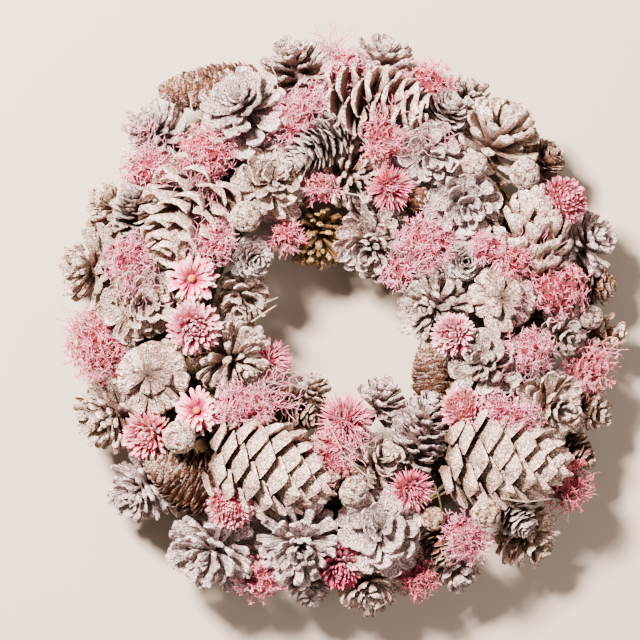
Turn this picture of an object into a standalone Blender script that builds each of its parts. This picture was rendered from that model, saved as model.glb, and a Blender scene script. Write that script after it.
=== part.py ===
"""A pinecone wreath lying on its back, front up, in metres, with the photograph's up as +Y.

Open pine cones, maritime, spruce and small round cones, pink strawflowers and tufts of pink moss are
set round a bound straw ring. Scales, bracts and tufts are raised from the surface of their piece by a
formula, and each piece is then bent clear of those that it is pressed against.
"""

import math
import random
from typing import NamedTuple

import bmesh
import bpy
from mathutils import Matrix, Vector

MM = 0.001

# The straw ring: a roll bent round the wreath's axis, with a flat back that lies on the surface.
RING_RADIUS = 105 * MM
ROLL_RADIUS = 24 * MM
ROLL_HEIGHT = 20 * MM
RING_SEGMENTS = 28
ROLL_SEGMENTS = 12

# How the pieces lie against each other, the ring and the surface below.
CLEAR = 0.3 * MM
RING_CLEAR = 0.35 * MM
ABOVE_SURFACE = 2 * MM
PRESSED_FROM = 0.9  # share of the way to a neighbour at which a piece starts to give
FULL_WIDTH = 1.24  # width of a piece before it is pressed, over its width in the layout
FULL_LENGTH = 1.1  # the same for its length
RIM_REACH = 18 * MM  # how much further a cone of the outer rim reaches back under the others
RIM_FROM = 132 * MM  # distance from the wreath's middle at which the outer rim starts
RING_PLANES = (0, -14, 14, -28, 28)  # degrees round the ring from a piece in its hole
BEAD_RADIUS = 2.2 * MM  # glue bead between two pieces of one node
BEAD_SIDES = 5

BASE_RING = 0.3  # where a row's scale ends start, in rows
ROOT_RING = 0.82  # where the next row's scales are rooted, in rows


class Kind(NamedTuple):
    """How one kind of piece is scaled: its rows of lobes and the outline that they reach."""

    lobes: int
    rows: int
    rise: float  # how far a scale's end leans towards the tip, in rows
    gap: float  # radius between two scales of a row, as a share of the outline
    root: float  # radius where the scales are rooted, as a share of the outline
    rough: float  # share of the radius that varies from point to point
    outline: tuple  # (share of the length from the base, share of the half width)
    material: str


CONE_OUTLINE = ((0, 0.5), (0.2, 0.92), (0.5, 1), (0.8, 0.86), (1, 0.35))
LONG_OUTLINE = ((0, 0.6), (0.14, 0.9), (0.45, 1), (0.82, 0.72), (1, 0.3))
FLOWER_OUTLINE = ((0, 0.6), (0.3, 1), (0.65, 0.84), (1, 0.4))
BALL_OUTLINE = ((0, 0.05), (0.15, 0.72), (0.5, 1), (0.85, 0.72), (1, 0.05))

KINDS = {
    "pine": Kind(7, 4, 0.7, 0.72, 0.55, 0.06, CONE_OUTLINE, "whitewashed_scales"),
    "golden": Kind(7, 4, 0.7, 0.72, 0.55, 0.06, CONE_OUTLINE, "golden_scales"),
    "rosette": Kind(6, 5, 0.8, 0.72, 0.52, 0.06, CONE_OUTLINE, "whitewashed_scales"),
    "small": Kind(5, 3, 0.6, 0.74, 0.58, 0.08, CONE_OUTLINE, "whitewashed_scales"),
    "dark": Kind(5, 3, 0.5, 0.76, 0.64, 0.08, CONE_OUTLINE, "frosted_dark_scales"),
    "slatted": Kind(6, 6, 0.9, 0.76, 0.55, 0.04, LONG_OUTLINE, "whitewashed_scales"),
    "maritime": Kind(7, 7, 0.42, 0.84, 0.76, 0.0, LONG_OUTLINE, "cream_scales"),
    "spruce": Kind(6, 5, 0.7, 0.86, 0.78, 0.03, LONG_OUTLINE, "brown_scales"),
    "frosted": Kind(6, 5, 0.7, 0.85, 0.75, 0.03, LONG_OUTLINE, "frosted_dark_scales"),
    "underside": Kind(8, 3, 0.25, 0.78, 0.55, 0.05, FLOWER_OUTLINE, "cream_scales"),
    "strawflower": Kind(7, 3, 0.6, 0.78, 0.62, 0.05, FLOWER_OUTLINE, "pink_bracts"),
    "globe": Kind(4, 2, 0.0, 0.93, 0.96, 0.04, BALL_OUTLINE, "cracked_globe"),
    "moss": Kind(4, 3, 0.2, 0.72, 0.78, 0.3, BALL_OUTLINE, "pink_moss"),
}

# Colour, roughness.
MATERIALS = {
    "whitewashed_scales": ((0.60, 0.56, 0.52, 1), 0.85),
    "golden_scales": ((0.42, 0.27, 0.12, 1), 0.75),
    "cream_scales": ((0.72, 0.66, 0.58, 1), 0.85),
    "brown_scales": ((0.24, 0.14, 0.08, 1), 0.7),
    "frosted_dark_scales": ((0.34, 0.31, 0.31, 1), 0.8),
    "cracked_globe": ((0.66, 0.60, 0.50, 1), 0.85),
    "pink_bracts": ((0.80, 0.22, 0.32, 1), 0.6),
    "pink_moss": ((0.78, 0.32, 0.36, 1), 0.95),
    "straw": ((0.42, 0.30, 0.16, 1), 0.9),
}

# Node, kind, then in millimetres x, y and z of the middle, width and length, then in degrees the plan
# direction of the tip from +X and its lift above the plan. Listed clockwise from twelve o'clock. Past
# sixty nodes, a small piece shares the node of the piece that it is glued to.
LAYOUT = (
    ("open_cone_top", "pine", -29, 157, 33, 44, 42, 110, 34),
    ("open_cone_top_right", "pine", 23, 158, 32, 44, 40, 80, 28),
    ("slatted_cone_top", "slatted", 18, 130, 59, 42, 66, -8, 12),
    ("open_cone_upper_left", "rosette", -61, 126, 62, 52, 44, 115, 58),
    ("brown_spruce_cone_upper_left", "spruce", -82, 143, 40, 27, 64, 184, 4),
    ("open_cone_left_rim_high", "pine", -112, 111, 31, 46, 43, 135, 30),
    ("open_cone_left_rim", "pine", -140, 68, 28, 40, 40, 160, 22),
    ("open_cone_left_rim", "dark", -125, 64, 55, 25, 34, 95, 30),
    ("maritime_cone_left", "maritime", -93, 64, 60, 48, 60, 205, 32),
    ("open_cone_inner_upper_left", "rosette", -44, 82, 63, 44, 38, 60, 68),
    ("open_cone_inner_upper_left", "globe", -59, 60, 76, 19, 19, 0, 90),
    ("open_cone_inner_upper_left", "dark", -56, 37, 62, 23, 24, -30, 60),
    ("frosted_cone_top", "frosted", -17, 104, 67, 29, 44, 215, 18),
    ("open_cone_inner_top", "pine", 4, 87, 56, 36, 36, -15, 32),
    ("golden_cone_hole_top", "golden", -16, 51, 37, 37, 36, -100, 12),
    ("open_cone_hole_upper_right", "pine", 17, 47, 50, 42, 38, -110, 52),
    ("open_cone_upper_right", "rosette", 49, 99, 64, 43, 38, -60, 74),
    ("frosted_cone_upper_right", "dark", 60, 123, 57, 28, 30, 60, 45),
    ("frosted_cone_upper_right", "small", 74, 137, 34, 36, 36, 60, 20),
    ("open_cone_right_high", "pine", 91, 108, 54, 46, 42, 50, 45),
    ("open_cone_right_high", "globe", 77, 91, 77, 16, 16, 0, 90),
    ("open_cone_right_high", "dark", 118, 96, 37, 28, 30, 40, 35),
    ("open_cone_right_high", "globe", 107, 85, 66, 18, 18, 0, 90),
    ("open_cone_inner_right_high", "rosette", 72, 68, 64, 43, 38, -80, 74),
    ("open_cone_inner_right_high", "dark", 71, 35, 64, 23, 26, -60, 80),
    ("open_cone_inner_right_high", "globe", 45, 73, 60, 16, 16, 0, 90),
    ("slatted_cone_right", "slatted", 112, 54, 57, 48, 58, 75, 35),
    ("slatted_cone_right", "small", 149, 47, 31, 34, 36, 20, 22),
    ("slatted_cone_right", "dark", 151, 22, 30, 27, 30, 5, 15),
    ("open_cone_hole_right", "pine", 54, 8, 50, 44, 38, 195, 58),
    ("cone_underside_right", "underside", 95, 12, 65, 45, 29, 0, -78),
    ("cone_right_rim", "small", 157, -7, 28, 31, 36, -5, 12),
    ("cone_right_rim", "globe", 148, 2, 50, 16, 16, 0, 90),
    ("cone_right_rim", "small", 130, -9, 56, 28, 28, -30, 60),
    ("open_cone_right", "rosette", 82, -28, 63, 43, 38, 150, 74),
    ("brown_spruce_cone_hole_right", "spruce", 55, -34, 42, 27, 44, 100, 8),
    ("open_cone_lower_right", "pine", 122, -51, 57, 43, 40, -30, 55),
    ("open_cone_lower_right", "small", 148, -54, 31, 32, 34, -20, 18),
    ("open_cone_lower_right", "dark", 139, -79, 32, 26, 30, -30, 12),
    ("frosted_cone_lower_right", "frosted", 45, -67, 56, 32, 46, 72, 26),
    ("maritime_cone_lower_right", "maritime", 93, -83, 62, 54, 80, -6, 8),
    ("open_cone_lower_right_rim", "pine", 111, -130, 32, 42, 40, -50, 18),
    ("open_cone_lower_right_rim", "dark", 101, -117, 57, 24, 29, -50, 20),
    ("open_cone_lower_right_rim", "globe", 83, -116, 75, 18, 18, 0, 90),
    ("cone_bottom_right", "small", 67, -147, 33, 37, 42, -65, 22),
    ("cone_bottom_right", "dark", 57, -133, 50, 25, 30, -70, 20),
    ("cone_bottom_right", "globe", 52, -119, 63, 15, 15, 0, 90),
    ("open_cone_bottom_right", "rosette", 21, -126, 64, 50, 40, 90, 75),
    ("open_cone_hole_bottom", "small", 18, -85, 58, 33, 32, 45, 60),
    ("open_cone_hole_bottom", "globe", 5, -103, 72, 17, 17, 0, 90),
    ("open_cone_hole_bottom", "small", 21, -49, 41, 31, 36, 78, 28),
    ("brown_cone_hole_bottom", "spruce", -33, -56, 54, 28, 38, -15, 30),
    ("brown_cone_hole_bottom", "small", -20, -43, 34, 26, 28, 80, 16),
    ("maritime_cone_lower_left", "maritime", -46, -90, 63, 54, 84, -12, 8),
    ("open_cone_bottom", "pine", -27, -134, 62, 45, 38, -90, 74),
    ("open_cone_bottom", "dark", -22, -157, 35, 28, 34, -80, 10),
    ("open_cone_bottom_rim", "pine", 15, -156, 34, 43, 39, -80, 28),
    ("open_cone_lower_left", "rosette", -78, -138, 49, 52, 48, -130, 40),
    ("brown_spruce_cone_lower_left", "spruce", -94, -95, 52, 33, 50, 152, 14),
    ("brown_spruce_cone_lower_left", "globe", -98, -71, 79, 19, 19, 0, 90),
    ("open_cone_lower_left_rim", "pine", -122, -101, 33, 42, 40, -140, 24),
    ("cone_underside_left", "underside", -115, -34, 64, 48, 32, 0, -78),
    ("cone_underside_left", "pine", -139, -54, 31, 45, 46, 200, 20),
    ("open_cone_left", "rosette", -123, 10, 60, 44, 38, -30, 70),
    ("open_cone_left", "pine", -155, 32, 31, 44, 40, 172, 26),
    ("open_cone_hole_left", "pine", -67, -26, 57, 44, 43, -40, 48),
    ("open_cone_hole_left", "small", -62, 14, 50, 33, 36, -100, 45),
    ("strawflower_inner_top", "strawflower", 27, 78, 72, 26, 18, -60, 75),
    ("strawflower_inner_top", "moss", 22, 103, 76, 24, 34, 100, 5),
    ("strawflower_right_high", "strawflower", 130, 71, 62, 28, 24, 20, 60),
    ("strawflower_hole_right", "strawflower", 64, -10, 71, 25, 17, 200, 72),
    ("strawflower_right", "strawflower", 70, -54, 73, 26, 19, 120, 75),
    ("strawflower_right", "moss", 96, -57, 77, 22, 36, -5, 5),
    ("strawflower_bottom_right", "strawflower", 39, -102, 71, 27, 20, -60, 70),
    ("strawflower_hole_bottom", "strawflower", 0, -60, 66, 31, 20, 90, 70),
    ("strawflower_hole_bottom", "moss", -8, -80, 77, 22, 30, 105, 5),
    ("strawflowers_left_low", "strawflower", -88, -55, 74, 28, 19, 100, 78),
    ("strawflowers_left_low", "strawflower", -117, -68, 62, 31, 25, 200, 60),
    ("strawflowers_left_low", "moss", -62, -52, 74, 24, 34, 0, 5),
    ("strawflowers_left", "strawflower", -91, 23, 77, 28, 17, -90, 84),
    ("strawflowers_left", "strawflower", -90, -6, 77, 30, 20, -60, 80),
    ("strawflowers_left", "moss", -82, 46, 79, 24, 28, 70, 20),
    ("strawflower_hole_left", "strawflower", -43, -24, 46, 25, 22, 0, 30),
    ("strawflower_bottom_left", "strawflower", -68, -112, 75, 27, 19, -110, 74),
    ("strawflower_bottom", "strawflower", -3, -148, 59, 27, 23, -80, 62),
    ("moss_tuft_top", "moss", -28, 122, 66, 24, 44, 55, 5),
    ("moss_tuft_top", "moss", 0, 153, 58, 26, 34, 70, 40),
    ("moss_tuft_top_right", "moss", 50, 142, 50, 30, 32, 40, 30),
    ("moss_tuft_right_high", "moss", 49, 46, 62, 38, 33, 0, 60),
    ("moss_tuft_right_high", "moss", 34, 30, 56, 22, 24, -135, 30),
    ("moss_tuft_upper_left", "moss", -83, 100, 64, 38, 40, 200, 20),
    ("moss_tuft_upper_left", "moss", -118, 89, 54, 30, 36, 190, 10),
    ("moss_tuft_right", "moss", 127, 18, 62, 38, 34, 0, 60),
    ("moss_tuft_lower_right", "moss", 130, -98, 46, 28, 34, -50, 20),
    ("moss_tuft_left_rim", "moss", -151, -15, 42, 38, 40, 180, 30),
    ("moss_tuft_left", "moss", -130, 37, 64, 30, 28, 120, 60),
)


class Piece:
    """One cone, flower, globe or tuft of the layout, in metres."""

    def __init__(self, row):
        self.node, kind, *sizes = row
        self.kind = KINDS[kind]
        x, y, z, width, length, turn, lift = sizes
        self.middle = Vector((x, y, z)) * MM
        self.half_width = width * MM / 2 * FULL_WIDTH
        self.half_length = length * MM / 2 * FULL_LENGTH
        plan, up = math.radians(turn), math.radians(lift)
        self.axis = Vector(
            (math.cos(plan) * math.cos(up), math.sin(plan) * math.cos(up), math.sin(up))
        )
        if Vector(self.middle[:2]).length > RIM_FROM and lift < 50:
            self.half_length += RIM_REACH / 2
            self.middle -= self.axis * RIM_REACH / 2

    def reach(self, direction):
        """How far the piece's ellipsoid reaches from its middle along a unit direction."""
        share = self.axis.dot(direction)
        across = math.sqrt(max(0.0, 1 - share * share))
        return math.hypot(share * self.half_length, across * self.half_width)


def room_between(one, other, direction):
    """The space between two pieces along a direction. It is negative where they are pressed together."""
    apart = (other.middle - one.middle).dot(direction)
    return apart - one.reach(direction) - other.reach(direction)


def parting_direction(one, other):
    """The direction from one piece to another along which they are furthest apart."""
    best = (other.middle - one.middle).normalized()
    step = 0.4
    while step > 0.02:
        side = best.orthogonal().normalized()
        up = best.cross(side)
        turned = [(best + step * way).normalized() for way in (side, -side, up, -up)]
        better = max(turned, key=lambda d: room_between(one, other, d))
        if room_between(one, other, better) > room_between(one, other, best):
            best = better
        else:
            step /= 2
    return best


def neighbour_planes(piece, pieces):
    """(outward direction, distance from the middle) of the plane that parts a piece from each neighbour."""
    planes = []
    for other in pieces:
        if other is piece:
            continue
        direction = parting_direction(piece, other)
        own, theirs = piece.reach(direction), other.reach(direction)
        room = room_between(piece, other, direction)
        planes.append((direction, own + room * own / (own + theirs) - CLEAR / 2))
    return planes


def ring_planes(piece):
    """The planes that keep a piece off the straw roll, which curves round a piece in its hole."""
    plan = Vector((piece.middle.x, piece.middle.y, 0)).normalized()
    roll = plan * RING_RADIUS + Vector((0, 0, ROLL_HEIGHT))
    away = (piece.middle - roll).normalized()
    inside = Vector(piece.middle[:2]).length < RING_RADIUS
    planes = []
    for angle in RING_PLANES if inside else RING_PLANES[:1]:
        turn = Matrix.Rotation(math.radians(angle), 3, "Z")
        distance = (piece.middle - turn @ roll).dot(turn @ away)
        planes.append((-(turn @ away), distance - ROLL_RADIUS - RING_CLEAR))
    return planes


def cell_of(piece, pieces):
    """Every plane that a piece stays within."""
    surface = (Vector((0, 0, -1)), piece.middle.z - ABOVE_SURFACE)
    return [*neighbour_planes(piece, pieces), *ring_planes(piece), surface]


def bent_clear(point, middle, planes):
    """The point drawn in towards the middle to stay within the planes, keeping the points' order."""
    out = point - middle
    distance = out.length
    if distance == 0:
        return point
    direction = out / distance
    limits = [
        limit / direction.dot(normal)
        for normal, limit in planes
        if direction.dot(normal) > 1e-6
    ]
    limit = min(limits, default=math.inf)
    share = distance / limit
    if share > PRESSED_FROM:
        give = 1 - PRESSED_FROM
        share = PRESSED_FROM + give * math.tanh((share - PRESSED_FROM) / give)
    return middle + direction * limit * share if limit < math.inf else point


def outline_radius(outline, height):
    """The outline's share of the half width at a share of the length, between its points."""
    for (low, low_radius), (high, high_radius) in zip(outline, outline[1:]):
        if height <= high:
            share = (height - low) / (high - low)
            return low_radius + share * (high_radius - low_radius)
    return outline[-1][1]


def raised_point(kind, ring, segment, chance):
    """(share of the length, share of the half width) of a point of a scaled surface.

    Rings of scale ends and of scale roots take turns from the base to the tip. Along a ring of ends a
    scale and a gap take turns, and each row is staggered against the one before.
    """
    row, is_root = divmod(ring - 1, 2)
    varied = 1 - kind.rough * chance.random()
    if is_root:
        height = (row + ROOT_RING) / kind.rows
        return height, kind.root * outline_radius(kind.outline, height) * varied
    height = (row + BASE_RING) / kind.rows
    if (segment + row) % 2:
        return height, kind.gap * outline_radius(kind.outline, height) * varied
    height = min(1.0, height + kind.rise / kind.rows)
    return height, outline_radius(kind.outline, height) * varied


def scaled_mesh(piece, seed):
    """A sphere whose points are raised into rows of scales, in the piece's place."""
    kind = piece.kind
    segments, bands = 2 * kind.lobes, 2 * kind.rows + 1
    chance = random.Random(seed)
    turn = piece.axis.to_track_quat("Z", "Y")
    shape = bmesh.new()
    bmesh.ops.create_uvsphere(shape, u_segments=segments, v_segments=bands, radius=1)
    for point in shape.verts:
        ring = round(bands * (1 - math.acos(max(-1, min(1, point.co.z))) / math.pi))
        height, radius = ring / bands, 0.0
        if 0 < ring < bands:
            angle = math.atan2(point.co.y, point.co.x)
            segment = round(angle / math.tau * segments) % segments
            height, radius = raised_point(kind, ring, segment, chance)
        plan = Vector((point.co.x, point.co.y, 0))
        local = plan.normalized() * radius * piece.half_width if radius else Vector()
        local.z = (2 * height - 1) * piece.half_length
        point.co = piece.middle + turn @ local
    return shape


def material(name):
    """The Principled material of a finish, made once."""
    found = bpy.data.materials.get(name)
    if found:
        return found
    colour, roughness = MATERIALS[name]
    made = bpy.data.materials.new(name)
    made.use_nodes = True
    shader = made.node_tree.nodes["Principled BSDF"]
    shader.inputs["Base Color"].default_value = colour
    shader.inputs["Roughness"].default_value = roughness
    shader.inputs["Metallic"].default_value = 0.0
    made.diffuse_color = colour
    return made


def linked(name, shape, finish, collection):
    """A new object of this shape and finish in a collection."""
    mesh = bpy.data.meshes.new(name)
    shape.to_mesh(mesh)
    shape.free()
    mesh.materials.append(material(finish))
    made = bpy.data.objects.new(name, mesh)
    collection.objects.link(made)
    return made


def glue_bead(one, other):
    """A bead from the middle of one piece to the middle of the piece that it is glued to."""
    run = other.middle - one.middle
    shape = bmesh.new()
    bmesh.ops.create_cone(
        shape,
        cap_ends=True,
        segments=BEAD_SIDES,
        radius1=BEAD_RADIUS,
        radius2=BEAD_RADIUS,
        depth=run.length,
        matrix=Matrix.Translation((one.middle + other.middle) / 2)
        @ run.to_track_quat("Z", "Y").to_matrix().to_4x4(),
    )
    return shape


def shape_of(piece, pieces):
    """A piece's scaled surface, bent clear of all that it lies against."""
    planes = cell_of(piece, pieces)
    shape = scaled_mesh(piece, pieces.index(piece))
    for point in shape.verts:
        point.co = bent_clear(point.co, piece.middle, planes)
    bmesh.ops.triangulate(shape, faces=shape.faces)
    return shape


def join(body, added):
    """The objects of a collection united with the body, and then removed."""
    union = body.modifiers.new("joined", "BOOLEAN")
    union.operation = "UNION"
    union.operand_type = "COLLECTION"
    union.collection = added
    union.solver = "MANIFOLD"
    bpy.context.scene.collection.children.link(added)
    graph = bpy.context.evaluated_depsgraph_get()
    body.data = bpy.data.meshes.new_from_object(body.evaluated_get(graph))
    body.modifiers.clear()
    for part in list(added.objects):
        bpy.data.objects.remove(part)
    bpy.data.collections.remove(added)


def make_node(name, group, pieces, wreath):
    """One node: its first piece, with any further pieces glued to it and joined in one body."""
    first = group[0]
    body = linked(name, shape_of(first, pieces), first.kind.material, wreath)
    if len(group) > 1:
        added = bpy.data.collections.new(name + "_added")
        for number, piece in enumerate(group[1:], start=1):
            nearest = min(group[:number], key=lambda other: (other.middle - piece.middle).length)
            finish = piece.kind.material
            linked(name + "_more", shape_of(piece, pieces), finish, added)
            linked(name + "_bead", glue_bead(piece, nearest), finish, added)
        join(body, added)
    body.data.transform(Matrix.Translation(-first.middle))
    body.location = first.middle


def make_straw_ring(wreath):
    """The roll of straw bent into a ring, flat where it lies."""
    bpy.ops.mesh.primitive_torus_add(
        major_segments=RING_SEGMENTS,
        minor_segments=ROLL_SEGMENTS,
        major_radius=RING_RADIUS,
        minor_radius=ROLL_RADIUS,
        location=(0, 0, 0),
    )
    ring = bpy.context.active_object
    ring.name = ring.data.name = "straw_ring"
    for point in ring.data.vertices:
        point.co.z = max(0.0, point.co.z + ROLL_HEIGHT)
    ring.data.materials.append(material("straw"))
    for collection in ring.users_collection:
        collection.objects.unlink(ring)
    wreath.objects.link(ring)


def main():
    """Clears the scene and builds the wreath."""
    for old in list(bpy.data.objects):
        bpy.data.objects.remove(old)
    wreath = bpy.data.collections.new("pinecone_wreath")
    bpy.context.scene.collection.children.link(wreath)
    make_straw_ring(wreath)
    pieces = [Piece(row) for row in LAYOUT]
    for name in dict.fromkeys(piece.node for piece in pieces):
        group = [piece for piece in pieces if piece.node == name]
        make_node(name, group, pieces, wreath)


main()
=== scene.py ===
"""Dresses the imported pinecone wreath: straw ring, cones, globes, strawflowers, moss, stems and studio.

The wreath lies on its back with its front up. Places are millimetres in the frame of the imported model.
The cones, the strawflowers, the straw ring and most of the moss stand for its solids. Globes, stems and
loose strands are added between them.
"""

import logging
import math
import random
from dataclasses import dataclass
from enum import Enum
from typing import Any

import bmesh
import bpy
from mathutils import Matrix, Vector, noise


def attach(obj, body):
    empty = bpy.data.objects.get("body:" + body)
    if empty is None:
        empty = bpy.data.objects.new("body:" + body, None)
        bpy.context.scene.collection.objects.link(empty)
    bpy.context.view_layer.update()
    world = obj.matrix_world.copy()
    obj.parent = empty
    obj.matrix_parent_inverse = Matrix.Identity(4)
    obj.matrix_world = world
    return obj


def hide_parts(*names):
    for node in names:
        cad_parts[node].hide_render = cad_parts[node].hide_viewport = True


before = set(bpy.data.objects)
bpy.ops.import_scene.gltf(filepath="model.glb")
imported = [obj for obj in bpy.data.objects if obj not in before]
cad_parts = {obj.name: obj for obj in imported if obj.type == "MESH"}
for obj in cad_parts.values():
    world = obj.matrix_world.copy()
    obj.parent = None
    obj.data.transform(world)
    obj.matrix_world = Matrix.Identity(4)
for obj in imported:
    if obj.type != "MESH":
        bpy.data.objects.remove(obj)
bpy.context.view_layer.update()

LOG = logging.getLogger("pinecone_wreath")
MM = 0.001
BODY = "root"
GOLDEN_TURN = 137.508
SHARP_ANGLE = math.radians(24)
SPECULAR = 0.2

Colour = tuple[float, float, float]
Triple = tuple[float, float, float]
Link = bpy.types.NodeSocket


class Graph:
    """Adds nodes to a node tree and joins them."""

    MEAN_NOISE = (0.5, 0.5, 0.5)

    def __init__(self, tree: bpy.types.NodeTree) -> None:
        """Keeps the tree that the nodes go into."""
        self.tree = tree

    def feed(self, socket: Link, value: Any) -> None:
        """Joins an output to a socket, or sets the socket's own value.

        Args:
            socket: The input to feed.
            value: An output, a plain value, or None to leave the input alone.
        """
        if isinstance(value, bpy.types.NodeSocket):
            self.tree.links.new(value, socket)
        elif value is not None:
            socket.default_value = value

    def node(
        self, kind: str, inputs: dict[str | int, Any] | None = None, **settings: Any
    ) -> bpy.types.Node:
        """Adds a node.

        Args:
            kind: The node's type.
            inputs: What feeds its inputs, by name or place.
            settings: The node's own settings.

        Returns:
            The node.
        """
        made = self.tree.nodes.new(kind)
        for name, value in settings.items():
            setattr(made, name, value)
        for key, value in (inputs or {}).items():
            self.feed(made.inputs[key], value)
        return made

    def math(self, operation: str, *values: Any) -> Link:
        """Adds a sum of one to three values.

        Args:
            operation: The Math node's operation.
            values: Outputs or numbers.

        Returns:
            The result.
        """
        made = self.node("ShaderNodeMath", operation=operation)
        for socket, value in zip(made.inputs, values):
            self.feed(socket, value)
        return made.outputs[0]

    def times(self, one: Any, other: Any) -> Link:
        """The product of two values."""
        return self.math("MULTIPLY", one, other)

    def scaled(self, value: Any, factor: Any, plus: Any) -> Link:
        """A value times a factor, plus another."""
        return self.math("MULTIPLY_ADD", value, factor, plus)

    def vector_math(self, operation: str, vector: Any, other: Any) -> Link:
        """Adds a sum of vectors.

        Args:
            operation: The Vector Math node's operation.
            vector: The first vector.
            other: The second vector, or the factor of a SCALE.

        Returns:
            The resulting vector.
        """
        second = "Scale" if operation == "SCALE" else 1
        made = self.node("ShaderNodeVectorMath", {0: vector, second: other}, operation=operation)
        return made.outputs[0]

    def store(self, shape: Link, label: str, value: Any, domain: str) -> Link:
        """Stores a value on a geometry as a named attribute.

        Args:
            shape: The geometry.
            label: The attribute's name.
            value: Its value.
            domain: What it is stored on, such as POINT.

        Returns:
            The geometry with the attribute.
        """
        return self.node(
            "GeometryNodeStoreNamedAttribute",
            {"Geometry": shape, "Name": label, "Value": value},
            data_type="FLOAT",
            domain=domain,
        ).outputs[0]

    def instances(self, points: Link, instance: Link, rotation: Link, scale: Link) -> Link:
        """Sets a copy of a geometry on every point.

        Args:
            points: The points.
            instance: The geometry.
            rotation: How each copy is turned.
            scale: How each copy is scaled.

        Returns:
            The copies.
        """
        return self.node(
            "GeometryNodeInstanceOnPoints",
            {"Points": points, "Instance": instance, "Rotation": rotation, "Scale": scale},
        ).outputs[0]

    def finish(self, shapes: tuple[Link, ...], material: Link) -> None:
        """Joins geometries, sets their material and ends the tree.

        Args:
            shapes: The geometries.
            material: The material's output.
        """
        joined = self.node("GeometryNodeJoinGeometry")
        for shape in shapes:
            self.tree.links.new(shape, joined.inputs[0])
        done = self.node(
            "GeometryNodeSetMaterial", {"Geometry": joined.outputs[0], "Material": material}
        )
        self.node("NodeGroupOutput", {0: done.outputs[0]})

    def vector(self, x: Any, y: Any, z: Any) -> Link:
        """A vector of three values."""
        return self.node("ShaderNodeCombineXYZ", {0: x, 1: y, 2: z}).outputs[0]

    def chance(self, low: Any, high: Any, seed: Any) -> Link:
        """A random number for each point or instance.

        Args:
            low: The lowest that it may be.
            high: The highest that it may be.
            seed: The seed of the draw.

        Returns:
            The number.
        """
        made = self.node("FunctionNodeRandomValue", data_type="FLOAT")
        self.feed(made.inputs[2], low)
        self.feed(made.inputs[3], high)
        self.feed(made.inputs["Seed"], seed)
        return made.outputs[1]

    def ramp(self, value: Any, low: float, high: float) -> Link:
        """Where a value lies between two others, smoothly from 0 to 1.

        Args:
            value: The value.
            low: Where the result is 0.
            high: Where the result is 1.

        Returns:
            The result.
        """
        made = self.node("ShaderNodeMapRange", interpolation_type="SMOOTHSTEP")
        for key, what in (("Value", value), ("From Min", low), ("From Max", high)):
            self.feed(made.inputs[key], what)
        return made.outputs[0]

    def mix(self, share: Any, one: Any, other: Any, blend: str = "MIX") -> Link:
        """A mix of two colours.

        Args:
            share: How much of the second.
            one: The first colour.
            other: The second colour.
            blend: How they mix.

        Returns:
            The mixed colour.
        """
        made = self.node("ShaderNodeMix", data_type="RGBA", blend_type=blend)
        self.feed(made.inputs[0], share)
        self.feed(made.inputs[6], one)
        self.feed(made.inputs[7], other)
        return made.outputs[2]

    def noise(self, where: Any, scale: Any, detail: float = 3.0) -> Link:
        """A noise value from 0 to 1 at a place."""
        return self.node(
            "ShaderNodeTexNoise", {"Vector": where, "Scale": scale, "Detail": detail}
        ).outputs[0]

    def roughen(self, shape: Link, depth: Any, seed: Any, scale: float = 330.0) -> Link:
        """Moves the points of a geometry by a smooth noise.

        Args:
            shape: The geometry.
            depth: How far, in metres.
            seed: Which noise.
            scale: The noise's scale.

        Returns:
            The roughened geometry.
        """
        where = self.node("GeometryNodeInputPosition").outputs[0]
        waves = self.node(
            "ShaderNodeTexNoise",
            {"Vector": where, "W": seed, "Scale": scale, "Detail": 2.0},
            noise_dimensions="4D",
        ).outputs["Color"]
        away = self.vector_math("SCALE", self.vector_math("SUBTRACT", waves, self.MEAN_NOISE), depth)
        return self.node("GeometryNodeSetPosition", {"Geometry": shape, "Offset": away}).outputs[0]

    def attribute(self, name: str) -> Link:
        """The value of a mesh attribute."""
        return self.node("ShaderNodeAttribute", attribute_name=name).outputs["Fac"]


def rgba(colour: Colour) -> tuple[float, float, float, float]:
    """A colour with full cover."""
    return (*colour, 1.0)


def new_group(name: str, kind: str, inputs: dict[str, str], outputs: dict[str, str]) -> Graph:
    """Starts a node group with named sockets.

    Args:
        name: The group's name.
        kind: The type of its tree.
        inputs: Socket types by name.
        outputs: Socket types by name.

    Returns:
        The graph of the new tree.
    """
    tree = bpy.data.node_groups.new(name, kind)
    for label, socket in inputs.items():
        tree.interface.new_socket(label, in_out="INPUT", socket_type="NodeSocket" + socket)
    for label, socket in outputs.items():
        tree.interface.new_socket(label, in_out="OUTPUT", socket_type="NodeSocket" + socket)
    return Graph(tree)


# Finishes


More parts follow.
